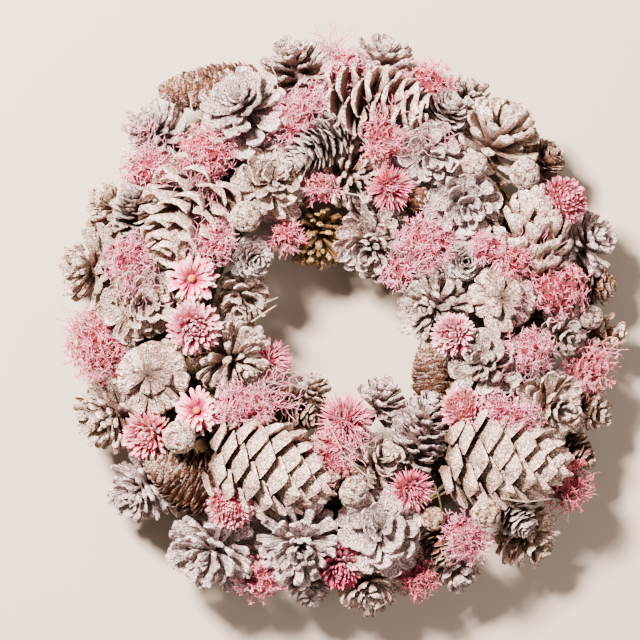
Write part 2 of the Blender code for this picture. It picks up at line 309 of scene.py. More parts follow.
class PaintedSurface:
    """The shader group for dry plant surfaces with chalky, crackled paint on their exposed ends."""

    NAME = "painted_dry_surface"
    INPUTS = {
        "Bare": "Color",
        "Paint": "Color",
        "Stain": "Color",
        "Cover": "Float",
        "Start": "Float",
        "Worn": "Float",
        "Back": "Float",
        "Crackle": "Float",
        "Grain": "Float",
        "Blotch": "Float",
        "Fleck": "Float",
    }

    MASKS = ("along", "across", "edge", "under", "shade", "row")
    NOISE_DETAIL = 4.0
    STAIN_DETAIL = 2.0
    STAIN_SCALE = 0.4
    STAIN_FROM, STAIN_FULL = 0.48, 0.66
    CELL_SCALE = 1.3
    CRACK_WIDTH = 0.09
    STREAK_ACROSS, STREAK_ALONG, STREAK_APART = 1.8, 0.7, 37.0
    STREAK_SCALE = 3.0

    # How far the paint reaches down a scale: the share of each mask or noise in it.
    REACH_ALONG = 2.4
    REACH_NEAR_TIP = 0.8
    REACH_BLOTCH = 2.4
    REACH_FLECK = 2.2
    PAINT_FROM, PAINT_FULL = 0.25, 0.6

    # Where along a scale, and between which values of a noise, the lightness changes; the darkening towards
    # the root is painted shade.
    BARE_ROOT_SHADE_SPAN = (0.0, 0.75)
    BARE_FLECKED = (0.4, 0.6)
    PAINT_ROOT_SHADE_SPAN = (0.15, 0.85)
    PAINT_FLECKED = (0.42, 0.58)
    PAINT_STREAKED = (0.56, 0.66)

    # How light the bare scale and the paint are: a factor, then the value at zero.
    # Painted shade: the bare surface darkens towards a scale's root.
    BARE_ROOT_SHADE = (0.7, 0.3)
    BARE_SHADE = (0.6, 0.7)
    BARE_FLECK = (0.7, 0.65)
    PAINT_SHADE = (0.16, 0.78)
    PAINT_FLECK = (0.72, 0.42)
    # Painted highlight: the paint is lighter at a scale's rim.
    PAINT_RIM_HIGHLIGHT = (0.2, 0.92)
    # Painted shade: the paint darkens towards a scale's root.
    PAINT_ROOT_SHADE = (0.62, 0.38)
    PAINT_CRACK = (-0.65, 1.0)
    PAINT_STREAK = (-0.21, 1.0)
    ROUGHNESS = (0.2, 0.7)

    # How much the paint, blotches, cracks and streaks raise the surface.
    RAISED_PAINT, RAISED_BLOTCH, RAISED_CRACK, RAISED_STREAK = 0.4, 0.9, -0.5, 0.5

    @classmethod
    def group(cls) -> bpy.types.NodeTree:
        """The group, built once."""
        return bpy.data.node_groups.get(cls.NAME) or cls._build()

    @classmethod
    def _build(cls) -> bpy.types.NodeTree:
        """Builds the group.

        Returns:
            The group.
        """
        graph = new_group(
            cls.NAME,
            "ShaderNodeTree",
            cls.INPUTS,
            {"Color": "Color", "Roughness": "Float", "Height": "Float"},
        )
        given = graph.node("NodeGroupInput").outputs
        where = graph.node("ShaderNodeTexCoord").outputs["Object"]
        masks = {name: graph.attribute(name) for name in cls.MASKS}
        masks["blotch"] = graph.noise(where, given["Blotch"], cls.NOISE_DETAIL)
        masks["fleck"] = graph.noise(where, given["Fleck"], cls.NOISE_DETAIL)
        masks["streak"] = cls._streak(graph, masks)
        masks["crack"] = cls._crack(graph, given, where)
        stain = graph.noise(where, graph.times(given["Blotch"], cls.STAIN_SCALE), cls.STAIN_DETAIL)
        stained = graph.ramp(stain, cls.STAIN_FROM, cls.STAIN_FULL)

        painted = graph.ramp(cls._reach(graph, given, masks), cls.PAINT_FROM, cls.PAINT_FULL)
        bare = cls._dimmed(graph, given["Bare"], cls._bare_light(graph, masks))
        paint = graph.mix(stained, given["Paint"], given["Stain"])
        paint = cls._dimmed(graph, paint, cls._paint_light(graph, given, masks))
        height = graph.scaled(painted, cls.RAISED_PAINT, masks["fleck"])
        height = graph.scaled(masks["blotch"], cls.RAISED_BLOTCH, height)
        height = graph.scaled(masks["crack"], cls.RAISED_CRACK, height)
        raised = graph.times(given["Grain"], cls.RAISED_STREAK)
        height = graph.scaled(masks["streak"], raised, height)
        graph.node(
            "NodeGroupOutput",
            {
                "Color": graph.mix(painted, bare, paint),
                "Roughness": graph.scaled(painted, *cls.ROUGHNESS),
                "Height": height,
            },
        )
        return graph.tree

    @classmethod
    def _streak(cls, graph: Graph, masks: dict[str, Link]) -> Link:
        """The noise that is drawn out along each scale.

        Args:
            graph: The group's graph.
            masks: The attributes and noises by name.

        Returns:
            Its value.
        """
        place = graph.vector(
            graph.times(masks["across"], cls.STREAK_ACROSS),
            graph.times(masks["along"], cls.STREAK_ALONG),
            graph.times(masks["shade"], cls.STREAK_APART),
        )
        return graph.noise(place, cls.STREAK_SCALE)

    @classmethod
    def _crack(cls, graph: Graph, given: Any, where: Link) -> Link:
        """The lines between cells, where the paint has cracked.

        Args:
            graph: The group's graph.
            given: The group's inputs.
            where: The place on the surface.

        Returns:
            How cracked the paint is.
        """
        cell = graph.node(
            "ShaderNodeTexVoronoi",
            {"Vector": where, "Scale": graph.times(given["Blotch"], cls.CELL_SCALE)},
            feature="DISTANCE_TO_EDGE",
        ).outputs["Distance"]
        line = graph.math("SUBTRACT", 1.0, graph.ramp(cell, 0.0, cls.CRACK_WIDTH))
        return graph.times(line, given["Crackle"])

    @classmethod
    def _reach(cls, graph: Graph, given: Any, masks: dict[str, Link]) -> Link:
        """How surely a place is painted.

        Args:
            graph: The group's graph.
            given: The group's inputs.
            masks: The attributes and noises by name.

        Returns:
            The measure, below 0 for bare and above 1 for painted.
        """

        def centred(name: str) -> Link:
            """A noise moved to lie round zero."""
            return graph.math("SUBTRACT", masks[name], 0.5)

        reach = graph.math("SUBTRACT", masks["along"], given["Start"])
        reach = graph.scaled(reach, cls.REACH_ALONG, given["Cover"])
        reach = graph.scaled(graph.times(masks["row"], masks["row"]), cls.REACH_NEAR_TIP, reach)
        reach = graph.scaled(centred("blotch"), cls.REACH_BLOTCH, reach)
        reach = graph.scaled(centred("fleck"), cls.REACH_FLECK, reach)
        reach = graph.scaled(centred("streak"), given["Grain"], reach)
        worn = graph.times(graph.times(masks["edge"], masks["edge"]), given["Worn"])
        worn = graph.scaled(masks["under"], given["Back"], worn)
        return graph.math("SUBTRACT", graph.math("SUBTRACT", reach, worn), masks["crack"])

    @classmethod
    def _bare_light(cls, graph: Graph, masks: dict[str, Link]) -> Link:
        """How light the bare surface is: darker in flecks, and darker towards the root as painted shade.

        Args:
            graph: The group's graph.
            masks: The attributes and noises by name.

        Returns:
            The factor.
        """
        # Painted shade towards the root.
        light = graph.scaled(graph.ramp(masks["along"], *cls.BARE_ROOT_SHADE_SPAN), *cls.BARE_ROOT_SHADE)
        light = graph.times(light, graph.scaled(masks["shade"], *cls.BARE_SHADE))
        fleck = graph.scaled(graph.ramp(masks["fleck"], *cls.BARE_FLECKED), *cls.BARE_FLECK)
        return graph.times(light, fleck)

    @classmethod
    def _paint_light(cls, graph: Graph, given: Any, masks: dict[str, Link]) -> Link:
        """How light the paint is: darker in flecks, cracks and streaks, darker towards the root as painted
        shade, and lighter at the rim as a painted highlight.

        Args:
            graph: The group's graph.
            given: The group's inputs.
            masks: The attributes and noises by name.

        Returns:
            The factor.
        """
        light = graph.scaled(masks["shade"], *cls.PAINT_SHADE)
        line = graph.times(graph.ramp(masks["streak"], *cls.PAINT_STREAKED), given["Grain"])
        for factor in (
            graph.scaled(graph.ramp(masks["fleck"], *cls.PAINT_FLECKED), *cls.PAINT_FLECK),
            # Painted highlight at the rim.
            graph.scaled(masks["edge"], *cls.PAINT_RIM_HIGHLIGHT),
            # Painted shade towards the root.
            graph.scaled(graph.ramp(masks["along"], *cls.PAINT_ROOT_SHADE_SPAN), *cls.PAINT_ROOT_SHADE),
            graph.scaled(masks["crack"], *cls.PAINT_CRACK),
            graph.scaled(line, *cls.PAINT_STREAK),
        ):
            light = graph.times(light, factor)
        return light

    @staticmethod
    def _dimmed(graph: Graph, colour: Link, light: Link) -> Link:
        """A colour times a lightness."""
        return graph.mix(1.0, colour, graph.vector(light, light, light), "MULTIPLY")


@dataclass(frozen=True)
class Finish:
    """A dry surface: its bare colour, the paint on it, and how both wear.

    Attributes:
        name: The material's name.
        slot: The name shared by like finishes; not used.
        bare: Colour of the unpainted surface.
        paint: Colour of the paint.
        stain: Colour of the patches in the paint.
        cover: How much paint there is, from -1 to 1.
        start: Where along a scale the paint starts.
        worn: How far the paint is worn off at a scale's rim.
        back: How far the paint is missing from a scale's lower side.
        crackle: How far the paint has cracked.
        grain: How strong the streaks along a scale are.
        blotch: Scale of the worn patches.
        fleck: Scale of the fine flecks.
        bump: Strength of the relief.
        relief: Depth of the relief in metres.
        sheen: Weight of the soft sheen.
    """

    name: str
    slot: str
    bare: Colour
    paint: Colour
    stain: Colour
    cover: float = 0.5
    start: float = 0.46
    worn: float = 0.6
    back: float = 0.5
    crackle: float = 0.5
    grain: float = 3.2
    blotch: float = 260.0
    fleck: float = 850.0
    bump: float = 0.9
    relief: float = 0.002
    sheen: float = 0.0

    def material(self) -> bpy.types.Material:
        """The finish's material, built once."""
        return bpy.data.materials.get(self.name) or self._build()

    def _build(self) -> bpy.types.Material:
        """Builds the material.

        Returns:
            The material.
        """
        made = bpy.data.materials.new(self.name)
        made.use_nodes = True
        graph = Graph(made.node_tree)
        shader = made.node_tree.nodes["Principled BSDF"]
        surface = graph.node("ShaderNodeGroup", node_tree=PaintedSurface.group())
        for label in PaintedSurface.INPUTS:
            value = getattr(self, label.lower())
            surface.inputs[label].default_value = rgba(value) if isinstance(value, tuple) else value
        bump = graph.node(
            "ShaderNodeBump",
            {"Strength": self.bump, "Distance": self.relief, "Height": surface.outputs["Height"]},
        )
        graph.feed(shader.inputs["Base Color"], surface.outputs["Color"])
        graph.feed(shader.inputs["Roughness"], surface.outputs["Roughness"])
        graph.feed(shader.inputs["Normal"], bump.outputs[0])
        shader.inputs["Specular IOR Level"].default_value = SPECULAR
        shader.inputs["Sheen Weight"].default_value = self.sheen
        made.diffuse_color = rgba(self.paint)
        return made


@dataclass(frozen=True)
class Floret(Finish):
    """The finish of petals and moss sprigs, where bare colours the root and paint the tip."""

    cover: float = 0.3
    start: float = 0.45
    worn: float = 0.0
    back: float = 0.0
    crackle: float = 0.0
    grain: float = 0.8
    blotch: float = 420.0
    fleck: float = 1600.0
    bump: float = 0.3
    relief: float = 0.0003
    sheen: float = 0.2


class Tone(Enum):
    """The finishes of the cones, globes, flowers, moss and straw."""

    CREAM = Finish(
        "cream_limewash", "whitewashed_scales", bare=(0.37, 0.20, 0.14), paint=(1.0, 0.77, 0.66),
        stain=(0.68, 0.48, 0.38), cover=0.85,
    )
    GREY = Finish(
        "grey_limewash", "whitewashed_scales", bare=(0.27, 0.15, 0.12), paint=(1.0, 0.78, 0.72),
        stain=(0.54, 0.39, 0.34), cover=0.65,
    )
    LILAC = Finish(
        "lilac_limewash", "whitewashed_scales", bare=(0.36, 0.22, 0.20), paint=(1.0, 0.79, 0.77),
        stain=(0.72, 0.55, 0.53), cover=1.0,
    )
    TAN = Finish(
        "tan_limewash", "whitewashed_scales", bare=(0.33, 0.17, 0.10), paint=(0.98, 0.75, 0.61),
        stain=(0.58, 0.38, 0.27), cover=0.65,
    )
    GOLD = Finish(
        "golden_brown", "golden_scales", bare=(0.22, 0.11, 0.035), paint=(0.68, 0.45, 0.21),
        stain=(0.40, 0.22, 0.08), cover=0.3,
    )
    RIMMED = Finish(
        "rimmed_mauve", "whitewashed_scales", bare=(0.32, 0.20, 0.17), paint=(1.0, 0.77, 0.69),
        stain=(0.70, 0.52, 0.45), cover=0.2, start=0.84, worn=0.0, back=0.0, crackle=0.2, grain=1.2,
    )
    CHALK = Finish(
        "chalk_white", "cream_scales", bare=(0.36, 0.21, 0.14), paint=(1.0, 0.74, 0.63),
        stain=(0.68, 0.47, 0.37), cover=0.8, start=0.3, worn=0.55, back=0.0, crackle=0.8, grain=1.4,
        blotch=240.0,
    )
    BASE = Finish(
        "cream_cone_base", "whitewashed_scales", bare=(0.28, 0.18, 0.14), paint=(1.0, 0.75, 0.66),
        stain=(0.52, 0.38, 0.33), start=0.42, worn=1.6, back=0.0, grain=4.2,
    )
    NUT = Finish(
        "cracked_globe", "whitewashed_scales", bare=(0.22, 0.12, 0.08), paint=(1.0, 0.78, 0.68),
        stain=(0.64, 0.45, 0.36), start=0.45, worn=0.0, back=0.0, crackle=0.9, grain=0.0, blotch=420.0,
    )
    TAN_NUT = Finish(
        "tan_cracked_globe", "whitewashed_scales", bare=(0.20, 0.10, 0.05), paint=(0.90, 0.68, 0.52),
        stain=(0.58, 0.37, 0.23), cover=0.4, start=0.45, worn=0.0, back=0.0, crackle=0.9, grain=0.0,
        blotch=420.0,
    )
    BARK = Finish(
        "bare_brown", "brown_scales", bare=(0.16, 0.062, 0.036), paint=(0.74, 0.54, 0.44),
        stain=(0.36, 0.20, 0.13), cover=0.1, start=0.78, worn=0.0, back=0.0, crackle=0.0,
    )
    FROST = Finish(
        "frosted_dark", "frosted_dark_scales", bare=(0.10, 0.06, 0.052), paint=(1.0, 0.82, 0.78),
        stain=(0.62, 0.49, 0.45), cover=0.25, start=0.55, worn=0.0, back=0.0, crackle=0.0,
    )
    ROSE = Floret(
        "rose_bracts", "pink_bracts", bare=(0.50, 0.01, 0.06), paint=(1.0, 0.32, 0.45),
        stain=(0.90, 0.12, 0.26),
    )
    SALMON = Floret(
        "salmon_bracts", "pink_bracts", bare=(0.64, 0.04, 0.09), paint=(1.0, 0.42, 0.49),
        stain=(0.94, 0.20, 0.30),
    )
    BLUSH = Floret(
        "blush_bracts", "pink_bracts", bare=(0.62, 0.01, 0.09), paint=(1.0, 0.56, 0.65),
        stain=(0.94, 0.24, 0.36),
    )
    RAY = Floret(
        "ray_petals", "pink_bracts", bare=(0.74, 0.02, 0.14), paint=(1.0, 0.58, 0.66),
        stain=(0.94, 0.30, 0.42), cover=0.1, start=0.66,
    )
    WINE = Floret(
        "wine_bracts", "pink_bracts", bare=(0.22, 0.005, 0.03), paint=(0.66, 0.10, 0.20),
        stain=(0.48, 0.04, 0.10),
    )
    YOLK = Floret(
        "yellow_florets", "pink_bracts", bare=(0.42, 0.09, 0.01), paint=(0.90, 0.36, 0.05),
        stain=(0.74, 0.20, 0.02),
    )
    MOSS_PALE = Floret(
        "pale_pink_moss", "pink_moss", bare=(0.46, 0.02, 0.08), paint=(1.0, 0.47, 0.60),
        stain=(1.0, 0.27, 0.40),
    )
    MOSS_CORAL = Floret(
        "coral_moss", "pink_moss", bare=(0.36, 0.01, 0.04), paint=(1.0, 0.38, 0.47),
        stain=(1.0, 0.18, 0.28),
    )
    MOSS_RED = Floret(
        "red_moss", "pink_moss", bare=(0.22, 0.004, 0.018), paint=(0.88, 0.20, 0.27),
        stain=(0.66, 0.07, 0.12),
    )
    STRAW = Finish(
        "dry_straw", "straw", bare=(0.16, 0.09, 0.04), paint=(0.46, 0.32, 0.17),
        stain=(0.32, 0.20, 0.10), cover=0.3, start=0.2, worn=0.0, back=0.0, crackle=0.0, grain=0.0,
        blotch=200.0, fleck=1800.0,
    )
    PALE_STRAW = Finish(
        "pale_straw", "straw", bare=(0.50, 0.36, 0.22), paint=(0.88, 0.76, 0.60),
        stain=(0.78, 0.62, 0.46), cover=0.6, start=0.2, worn=0.0, back=0.0, crackle=0.0, grain=0.0,
        blotch=200.0, fleck=1800.0,
    )
    TWINE = Finish(
        "jute_twine", "straw", bare=(0.20, 0.12, 0.06), paint=(0.50, 0.38, 0.22),
        stain=(0.40, 0.28, 0.15), start=0.0, worn=0.0, back=0.0, crackle=0.0, grain=0.0, blotch=400.0,
        fleck=2400.0,
    )

    @property
    def material(self) -> bpy.types.Material:
        """The finish's material."""
        return self.value.material()


# Scales and other small repeats


@dataclass(frozen=True)
class Station:
    """One cross-section of a scale, in shares of the scale's length or width.

    Attributes:
        along: How far it lies from the root.
        half_width: Its half width, in widths.
        thickness: Its thickness.
        rise: Height of its middle.
        cup: How far its sides stand above its middle.
    """

    along: float
    half_width: float
    thickness: float
    rise: float = 0.0
    cup: float = 0.0


class ScaleForm(Enum):
    """The forms of a single scale, bract or petal, from its root to its end."""

    ROUNDED = (
        Station(0.0, 0.16, 0.08),
        Station(0.30, 0.28, 0.08, 0.0, 0.02),
        Station(0.60, 0.43, 0.07, 0.01, 0.06),
        Station(0.82, 0.50, 0.08, 0.04, 0.10),
        Station(0.94, 0.44, 0.11, 0.08, 0.10),
        Station(1.0, 0.26, 0.09, 0.12, 0.06),
    )
    FINGER = (
        Station(0.0, 0.30, 0.07),
        Station(0.35, 0.38, 0.08, 0.0, 0.02),
        Station(0.66, 0.44, 0.09, 0.02, 0.03),
        Station(0.86, 0.50, 0.12, 0.05, 0.04),
        Station(0.96, 0.42, 0.14, 0.08, 0.03),
        Station(1.0, 0.26, 0.10, 0.10, 0.01),
    )
    SLAT = (
        Station(0.0, 0.16, 0.08),
        Station(0.40, 0.34, 0.09, 0.0, 0.10),
        Station(0.72, 0.48, 0.12, 0.0, 0.24),
        Station(0.90, 0.50, 0.16, 0.02, 0.30),
        Station(0.97, 0.42, 0.18, 0.03, 0.22),
        Station(1.0, 0.26, 0.12, 0.03, 0.08),
    )
    PANEL = (
        Station(0.0, 0.12, 0.10),
        Station(0.28, 0.30, 0.10, 0.0, 0.06),
        Station(0.62, 0.46, 0.11, 0.0, 0.12),
        Station(0.86, 0.50, 0.13, 0.03, 0.15),
        Station(0.96, 0.43, 0.14, 0.07, 0.13),
        Station(1.0, 0.30, 0.10, 0.11, 0.07),
    )
    DIAMOND = (
        Station(0.0, 0.14, 0.22),
        Station(0.30, 0.34, 0.28, 0.02),
        Station(0.58, 0.50, 0.36, 0.01),
        Station(0.84, 0.25, 0.28, 0.0),
        Station(1.0, 0.05, 0.10, 0.0),
    )
    THIN = (
        Station(0.0, 0.25, 0.06),
        Station(0.45, 0.50, 0.05, 0.02, 0.04),
        Station(0.85, 0.46, 0.06, 0.05, 0.06),
        Station(1.0, 0.20, 0.03, 0.08, 0.02),
    )
    BRACT = (
        Station(0.0, 0.30, 0.12),
        Station(0.40, 0.50, 0.12, 0.0, 0.06),
        Station(0.80, 0.38, 0.10, 0.10, 0.10),
        Station(1.0, 0.06, 0.03, 0.24, 0.02),
    )
    NEEDLE = (
        Station(0.0, 0.50, 0.06),
        Station(0.5, 0.40, 0.06, 0.05, 0.02),
        Station(1.0, 0.08, 0.02, 0.22),
    )
    PETAL = (
        Station(0.0, 0.22, 0.05),
        Station(0.45, 0.46, 0.05, 0.04, 0.05),
        Station(0.85, 0.46, 0.05, 0.07, 0.04),
        Station(1.0, 0.20, 0.03, 0.06, 0.0),
    )

    @property
    def blunt(self) -> bool:
        """Whether the form is a thick scale with blunt sides."""
        return self in (ScaleForm.ROUNDED, ScaleForm.FINGER, ScaleForm.SLAT, ScaleForm.PANEL)

    @property
    def upper_points(self) -> int:
        """How many points of each cross-section lie on its upper side."""
        return 5 if self.blunt else 3

    def mesh(self, name: str) -> bpy.types.Mesh:
        """A closed scale along +X from the origin, one long and one wide.

        Args:
            name: The new mesh's name.

        Returns:
            The mesh, with the attributes along and across, shares of its length and half width, edge,
            how near its rim, and under, 1 on its lower side.
        """
        shape = bmesh.new()
        along = shape.verts.layers.float.new("along")
        across = shape.verts.layers.float.new("across")
        edge = shape.verts.layers.float.new("edge")
        under = shape.verts.layers.float.new("under")
        rings = []
        for station in self.value:
            ring = []
            for place, (y, z) in enumerate(self._section(station)):
                point = shape.verts.new((station.along, y, z))
                point[along] = station.along
                point[across] = y / station.half_width
                point[edge] = max(point[across] ** 2, (station.along - 0.5) * 2)
                point[under] = float(place >= self.upper_points)
                ring.append(point)
            rings.append(ring)
        for near, far in zip(rings, rings[1:]):
            for place in range(len(near)):
                after = (place + 1) % len(near)
                shape.faces.new((near[place], near[after], far[after], far[place]))
        shape.faces.new(rings[0])
        shape.faces.new(rings[-1])
        bmesh.ops.triangulate(shape, faces=shape.faces[:])
        bmesh.ops.recalc_face_normals(shape, faces=shape.faces[:])
        made = bpy.data.meshes.new(name)
        shape.to_mesh(made)
        shape.free()
        made.shade_smooth()
        made.set_sharp_from_angle(angle=SHARP_ANGLE)
        return made

    def _section(self, station: Station) -> list[tuple[float, float]]:
        """The points round one station: nine of them for a blunt form, or four for a sharp one.

        Args:
            station: The cross-section.

        Returns:
            The place of each point across and up.
        """
        half, thick = station.half_width, station.thickness / 2
        if not self.blunt:
            edge = station.rise + station.cup
            return [
                (-half, edge),
                (0.0, station.rise + thick),
                (half, edge),
                (0.0, station.rise - thick),
            ]
        side, inner = station.rise + station.cup, station.rise + station.cup * 0.25
        return [
            (-half, side + thick * 0.5),
            (-half * 0.5, inner + thick),
            (0.0, station.rise + thick * 1.5),
            (half * 0.5, inner + thick),
            (half, side + thick * 0.5),
            (half * 0.94, side - thick * 0.6),
            (half * 0.4, inner - thick),
            (-half * 0.4, inner - thick),
            (-half * 0.94, side - thick * 0.6),
        ]


class Spiral:
    """The geometry node tree that sets scales round an axis by the golden angle."""

    NAME = "scales_on_a_spiral"
    CORE_SEGMENTS = 12
    CORE_RINGS = 8

    # The lowest and the highest of each random part. Their order gives the draws' numbers.
    UNEVEN = {
        "Turn": (-0.5, 0.5),
        "Lift": (-0.7, 0.7),
        "Length": (-0.5, 0.3),
        "Width": (-0.5, 0.4),
        "Roll": (-0.9, 0.9),
    }
    INPUTS = {
        "Scale": "Geometry",
        "Count": "Int",
        "Turn": "Float",
        "Roll": "Float",
        "Lift": "Vector",
        "Root": "Vector",
        "Height": "Vector",
        "Length": "Vector",
        "Width": "Vector",
        "Thickness": "Float",
        "Uneven": "Float",
        "Rough": "Float",
        "Core": "Vector",
        "Seed": "Int",
        "Finish": "Material",
    }

    @classmethod
    def tree(cls) -> bpy.types.NodeTree:
        """The tree, built once."""
        return bpy.data.node_groups.get(cls.NAME) or cls._build()

    @staticmethod
    def _through_three() -> bpy.types.NodeTree:
        """The group that runs smoothly through a first, a middle and a last value.

        Returns:
            The group, built once.
        """
        name = "through_three_values"
        if name in bpy.data.node_groups:
            return bpy.data.node_groups[name]
        graph = new_group(
            name, "GeometryNodeTree", {"Values": "Vector", "Share": "Float"}, {"Value": "Float"}
        )
        given = graph.node("NodeGroupInput").outputs
        parts = graph.node("ShaderNodeSeparateXYZ", {0: given["Values"]}).outputs
        share = given["Share"]
        left = graph.math("SUBTRACT", 1.0, share)
        first = graph.times(left, graph.scaled(share, -2.0, 1.0))
        middle = graph.times(graph.times(share, left), 4.0)
        last = graph.times(share, graph.scaled(share, 2.0, -1.0))
        total = graph.times(parts[0], first)
        total = graph.scaled(parts[1], middle, total)
        total = graph.scaled(parts[2], last, total)
        graph.node("NodeGroupOutput", {"Value": total})
        return graph.tree

    @classmethod
    def _build(cls) -> bpy.types.NodeTree:
        """Builds the tree.

        Returns:
            The tree.
        """
        graph = new_group(cls.NAME, "GeometryNodeTree", cls.INPUTS, {"Geometry": "Geometry"})
        given = graph.node("NodeGroupInput").outputs
        index = graph.node("GeometryNodeInputIndex").outputs[0]
        share = graph.math("DIVIDE", graph.math("ADD", index, 0.5), given["Count"])

        def along(label: str) -> Link:
            """The value of a three-point input at each scale.

            Args:
                label: The input's name.

            Returns:
                The value.
            """
            group = graph.node("GeometryNodeGroup", node_tree=cls._through_three())
            graph.feed(group.inputs["Values"], given[label])
            graph.feed(group.inputs["Share"], share)
            return group.outputs[0]

        def uneven(label: str) -> Link:
            """A random number for each scale, scaled by how uneven the cone is.

            Args:
                label: What varies, as named in UNEVEN.

            Returns:
                The number.
            """
            number = list(cls.UNEVEN).index(label) + 1
            seed = graph.math("ADD", given["Seed"], float(number))
            return graph.times(graph.chance(*cls.UNEVEN[label], seed), given["Uneven"])

        turn = graph.scaled(index, given["Turn"], uneven("Turn"))
        root = along("Root")
        place = graph.vector(
            graph.times(graph.math("COSINE", turn), root),
            graph.times(graph.math("SINE", turn), root),
            along("Height"),
        )
        points = graph.node("GeometryNodePoints", {"Count": given["Count"], "Position": place})
        lift = graph.math("ADD", along("Lift"), uneven("Lift"))
        length = graph.times(along("Length"), graph.math("ADD", uneven("Length"), 1.0))
        width = graph.times(along("Width"), graph.math("ADD", uneven("Width"), 1.0))
        roll = graph.math("ADD", given["Roll"], uneven("Roll"))
        angles = graph.vector(roll, graph.times(lift, -1.0), turn)
        rotation = graph.node("FunctionNodeEulerToRotation", {0: angles}).outputs[0]
        size = graph.vector(length, width, graph.times(length, given["Thickness"]))
        scales = graph.instances(points.outputs[0], given["Scale"], rotation, size)
        scales = graph.store(scales, "shade", graph.chance(0.0, 1.0, given["Seed"]), "INSTANCE")
        scales = graph.store(scales, "row", share, "INSTANCE")
        scales = graph.node("GeometryNodeRealizeInstances", {0: scales}).outputs[0]
        scales = graph.roughen(scales, given["Rough"], given["Seed"])
        # The core has no along attribute, so it takes the bare colour with the full painted shade of a
        # scale's root.
        core = graph.node(
            "GeometryNodeMeshUVSphere",
            {"Segments": cls.CORE_SEGMENTS, "Rings": cls.CORE_RINGS, "Radius": 1.0},
        ).outputs[0]
        core = graph.node("GeometryNodeTransform", {"Geometry": core, "Scale": given["Core"]})
        graph.finish((core.outputs[0], scales), given["Finish"])
        return graph.tree


def grown(
    name: str, seed_mesh: bpy.types.Mesh, tree: bpy.types.NodeTree, values: dict[str, Any]
) -> bpy.types.Object:
    """Runs a geometry node tree on a mesh and keeps the result as a plain mesh.

    Args:
        name: The new object's name.
        seed_mesh: The mesh that the tree repeats.
        tree: The geometry node tree.
        values: The tree's inputs by name.

    Returns:
        The object, with no modifier left.
    """
    piece = bpy.data.objects.new(name, seed_mesh)
    bpy.context.scene.collection.objects.link(piece)
    modifier = piece.modifiers.new("grown", "NODES")
    modifier.node_group = tree
    for socket in tree.interface.items_tree:
        if socket.in_out == "INPUT" and socket.name in values:
            modifier[socket.identifier] = values[socket.name]
    graph = bpy.context.evaluated_depsgraph_get()
    result = bpy.data.meshes.new_from_object(piece.evaluated_get(graph))
    piece.modifiers.clear()
    piece.data = result
    result.name = name
    bpy.data.meshes.remove(seed_mesh)
    return piece


@dataclass(frozen=True)
class Place:
    """Where a piece stands, and which way its tip points.

    Attributes:
        x: Its middle's place to the right, in millimetres.
        y: Its middle's place upwards in the photograph, in millimetres.
        z: Its middle's height above the back, in millimetres.
        turn: The tip's direction round the front, in degrees from the right.
        lift: How far the tip rises towards the front, in degrees.
    """

    x: float
    y: float
    z: float
    turn: float = 0.0
    lift: float = 90.0

    @property
    def matrix(self) -> Matrix:
        """The matrix from the piece's own axes, with its tip along +Z, to the wreath's.

        Returns:
            The matrix, which moves in metres.
        """
        plan, up = math.radians(self.turn), math.radians(self.lift)
        axis = Vector((math.cos(plan) * math.cos(up), math.sin(plan) * math.cos(up), math.sin(up)))
        middle = Vector((self.x, self.y, self.z)) * MM
        return Matrix.Translation(middle) @ axis.to_track_quat("Z", "Y").to_matrix().to_4x4()


def hand_in(piece: bpy.types.Object, tone: Tone, *nodes: str) -> None:
    """Says which body a piece rides on, and the solids that it stands for.

    Args:
        piece: The piece.
        tone: Its finish.
        nodes: The names of the solids.
    """
    if not piece.data.materials:
        piece.data.materials.append(tone.material)
    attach(piece, BODY)
    if nodes:
        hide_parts(*nodes)
    LOG.info("%s: %d faces", piece.name, len(piece.data.polygons))


@dataclass(frozen=True)
class Habit:
    """How a cone or flower grows, from its base to its tip.

    Attributes:
        form: The form of each scale.
        count: How many scales.
        lift: Angle of the scales above the base plane, in degrees.
        root: Radius that they grow from, in half widths.
        height: Height that they grow from, in half lengths.
        length: Length of the scales, in half widths.
        width: Width of the scales, in half widths.
        thickness: Thickness of the scales over the form's own.
        uneven: How much they differ.
        rough: How deep their uneven surface is, in half widths.
        core: Radius in half widths and half length in half lengths of the core.
        turn: Angle from each scale to the next, in degrees.
        roll: How far each scale leans over its neighbour, in degrees.
    """

    form: ScaleForm
    count: int
    lift: Triple
    root: Triple
    height: Triple
    length: Triple
    width: Triple
    thickness: float = 1.0
    uneven: float = 0.25
    rough: float = 0.0
    core: tuple[float, float] = (0.25, 0.7)
    turn: float = GOLDEN_TURN
    roll: float = 0.0

    def grow(self, name: str, width: float, length: float, tone: Tone, seed: int) -> bpy.types.Object:
        """Grows one cone or flower round +Z about the origin.

        Args:
            name: The new object's name.
            width: Its width in millimetres.
            length: Its length in millimetres.
            tone: Its finish.
            seed: The seed of its uneven scales.

        Returns:
            The object.
        """
        across, up = width * MM / 2, length * MM / 2
        values = {
            "Count": self.count,
            "Turn": math.radians(self.turn),
            "Roll": math.radians(self.roll),
            "Lift": tuple(math.radians(angle) for angle in self.lift),
            "Root": tuple(share * across for share in self.root),
            "Height": tuple(share * up for share in self.height),
            "Length": tuple(share * across for share in self.length),
            "Width": tuple(share * across for share in self.width),
            "Thickness": self.thickness,
            "Uneven": self.uneven,
            "Rough": self.rough * across,
            "Core": (self.core[0] * across, self.core[0] * across, self.core[1] * up),
            "Seed": seed,
            "Finish": tone.material,
        }
        return grown(name, self.form.mesh(name + "_scale"), Spiral.tree(), values)


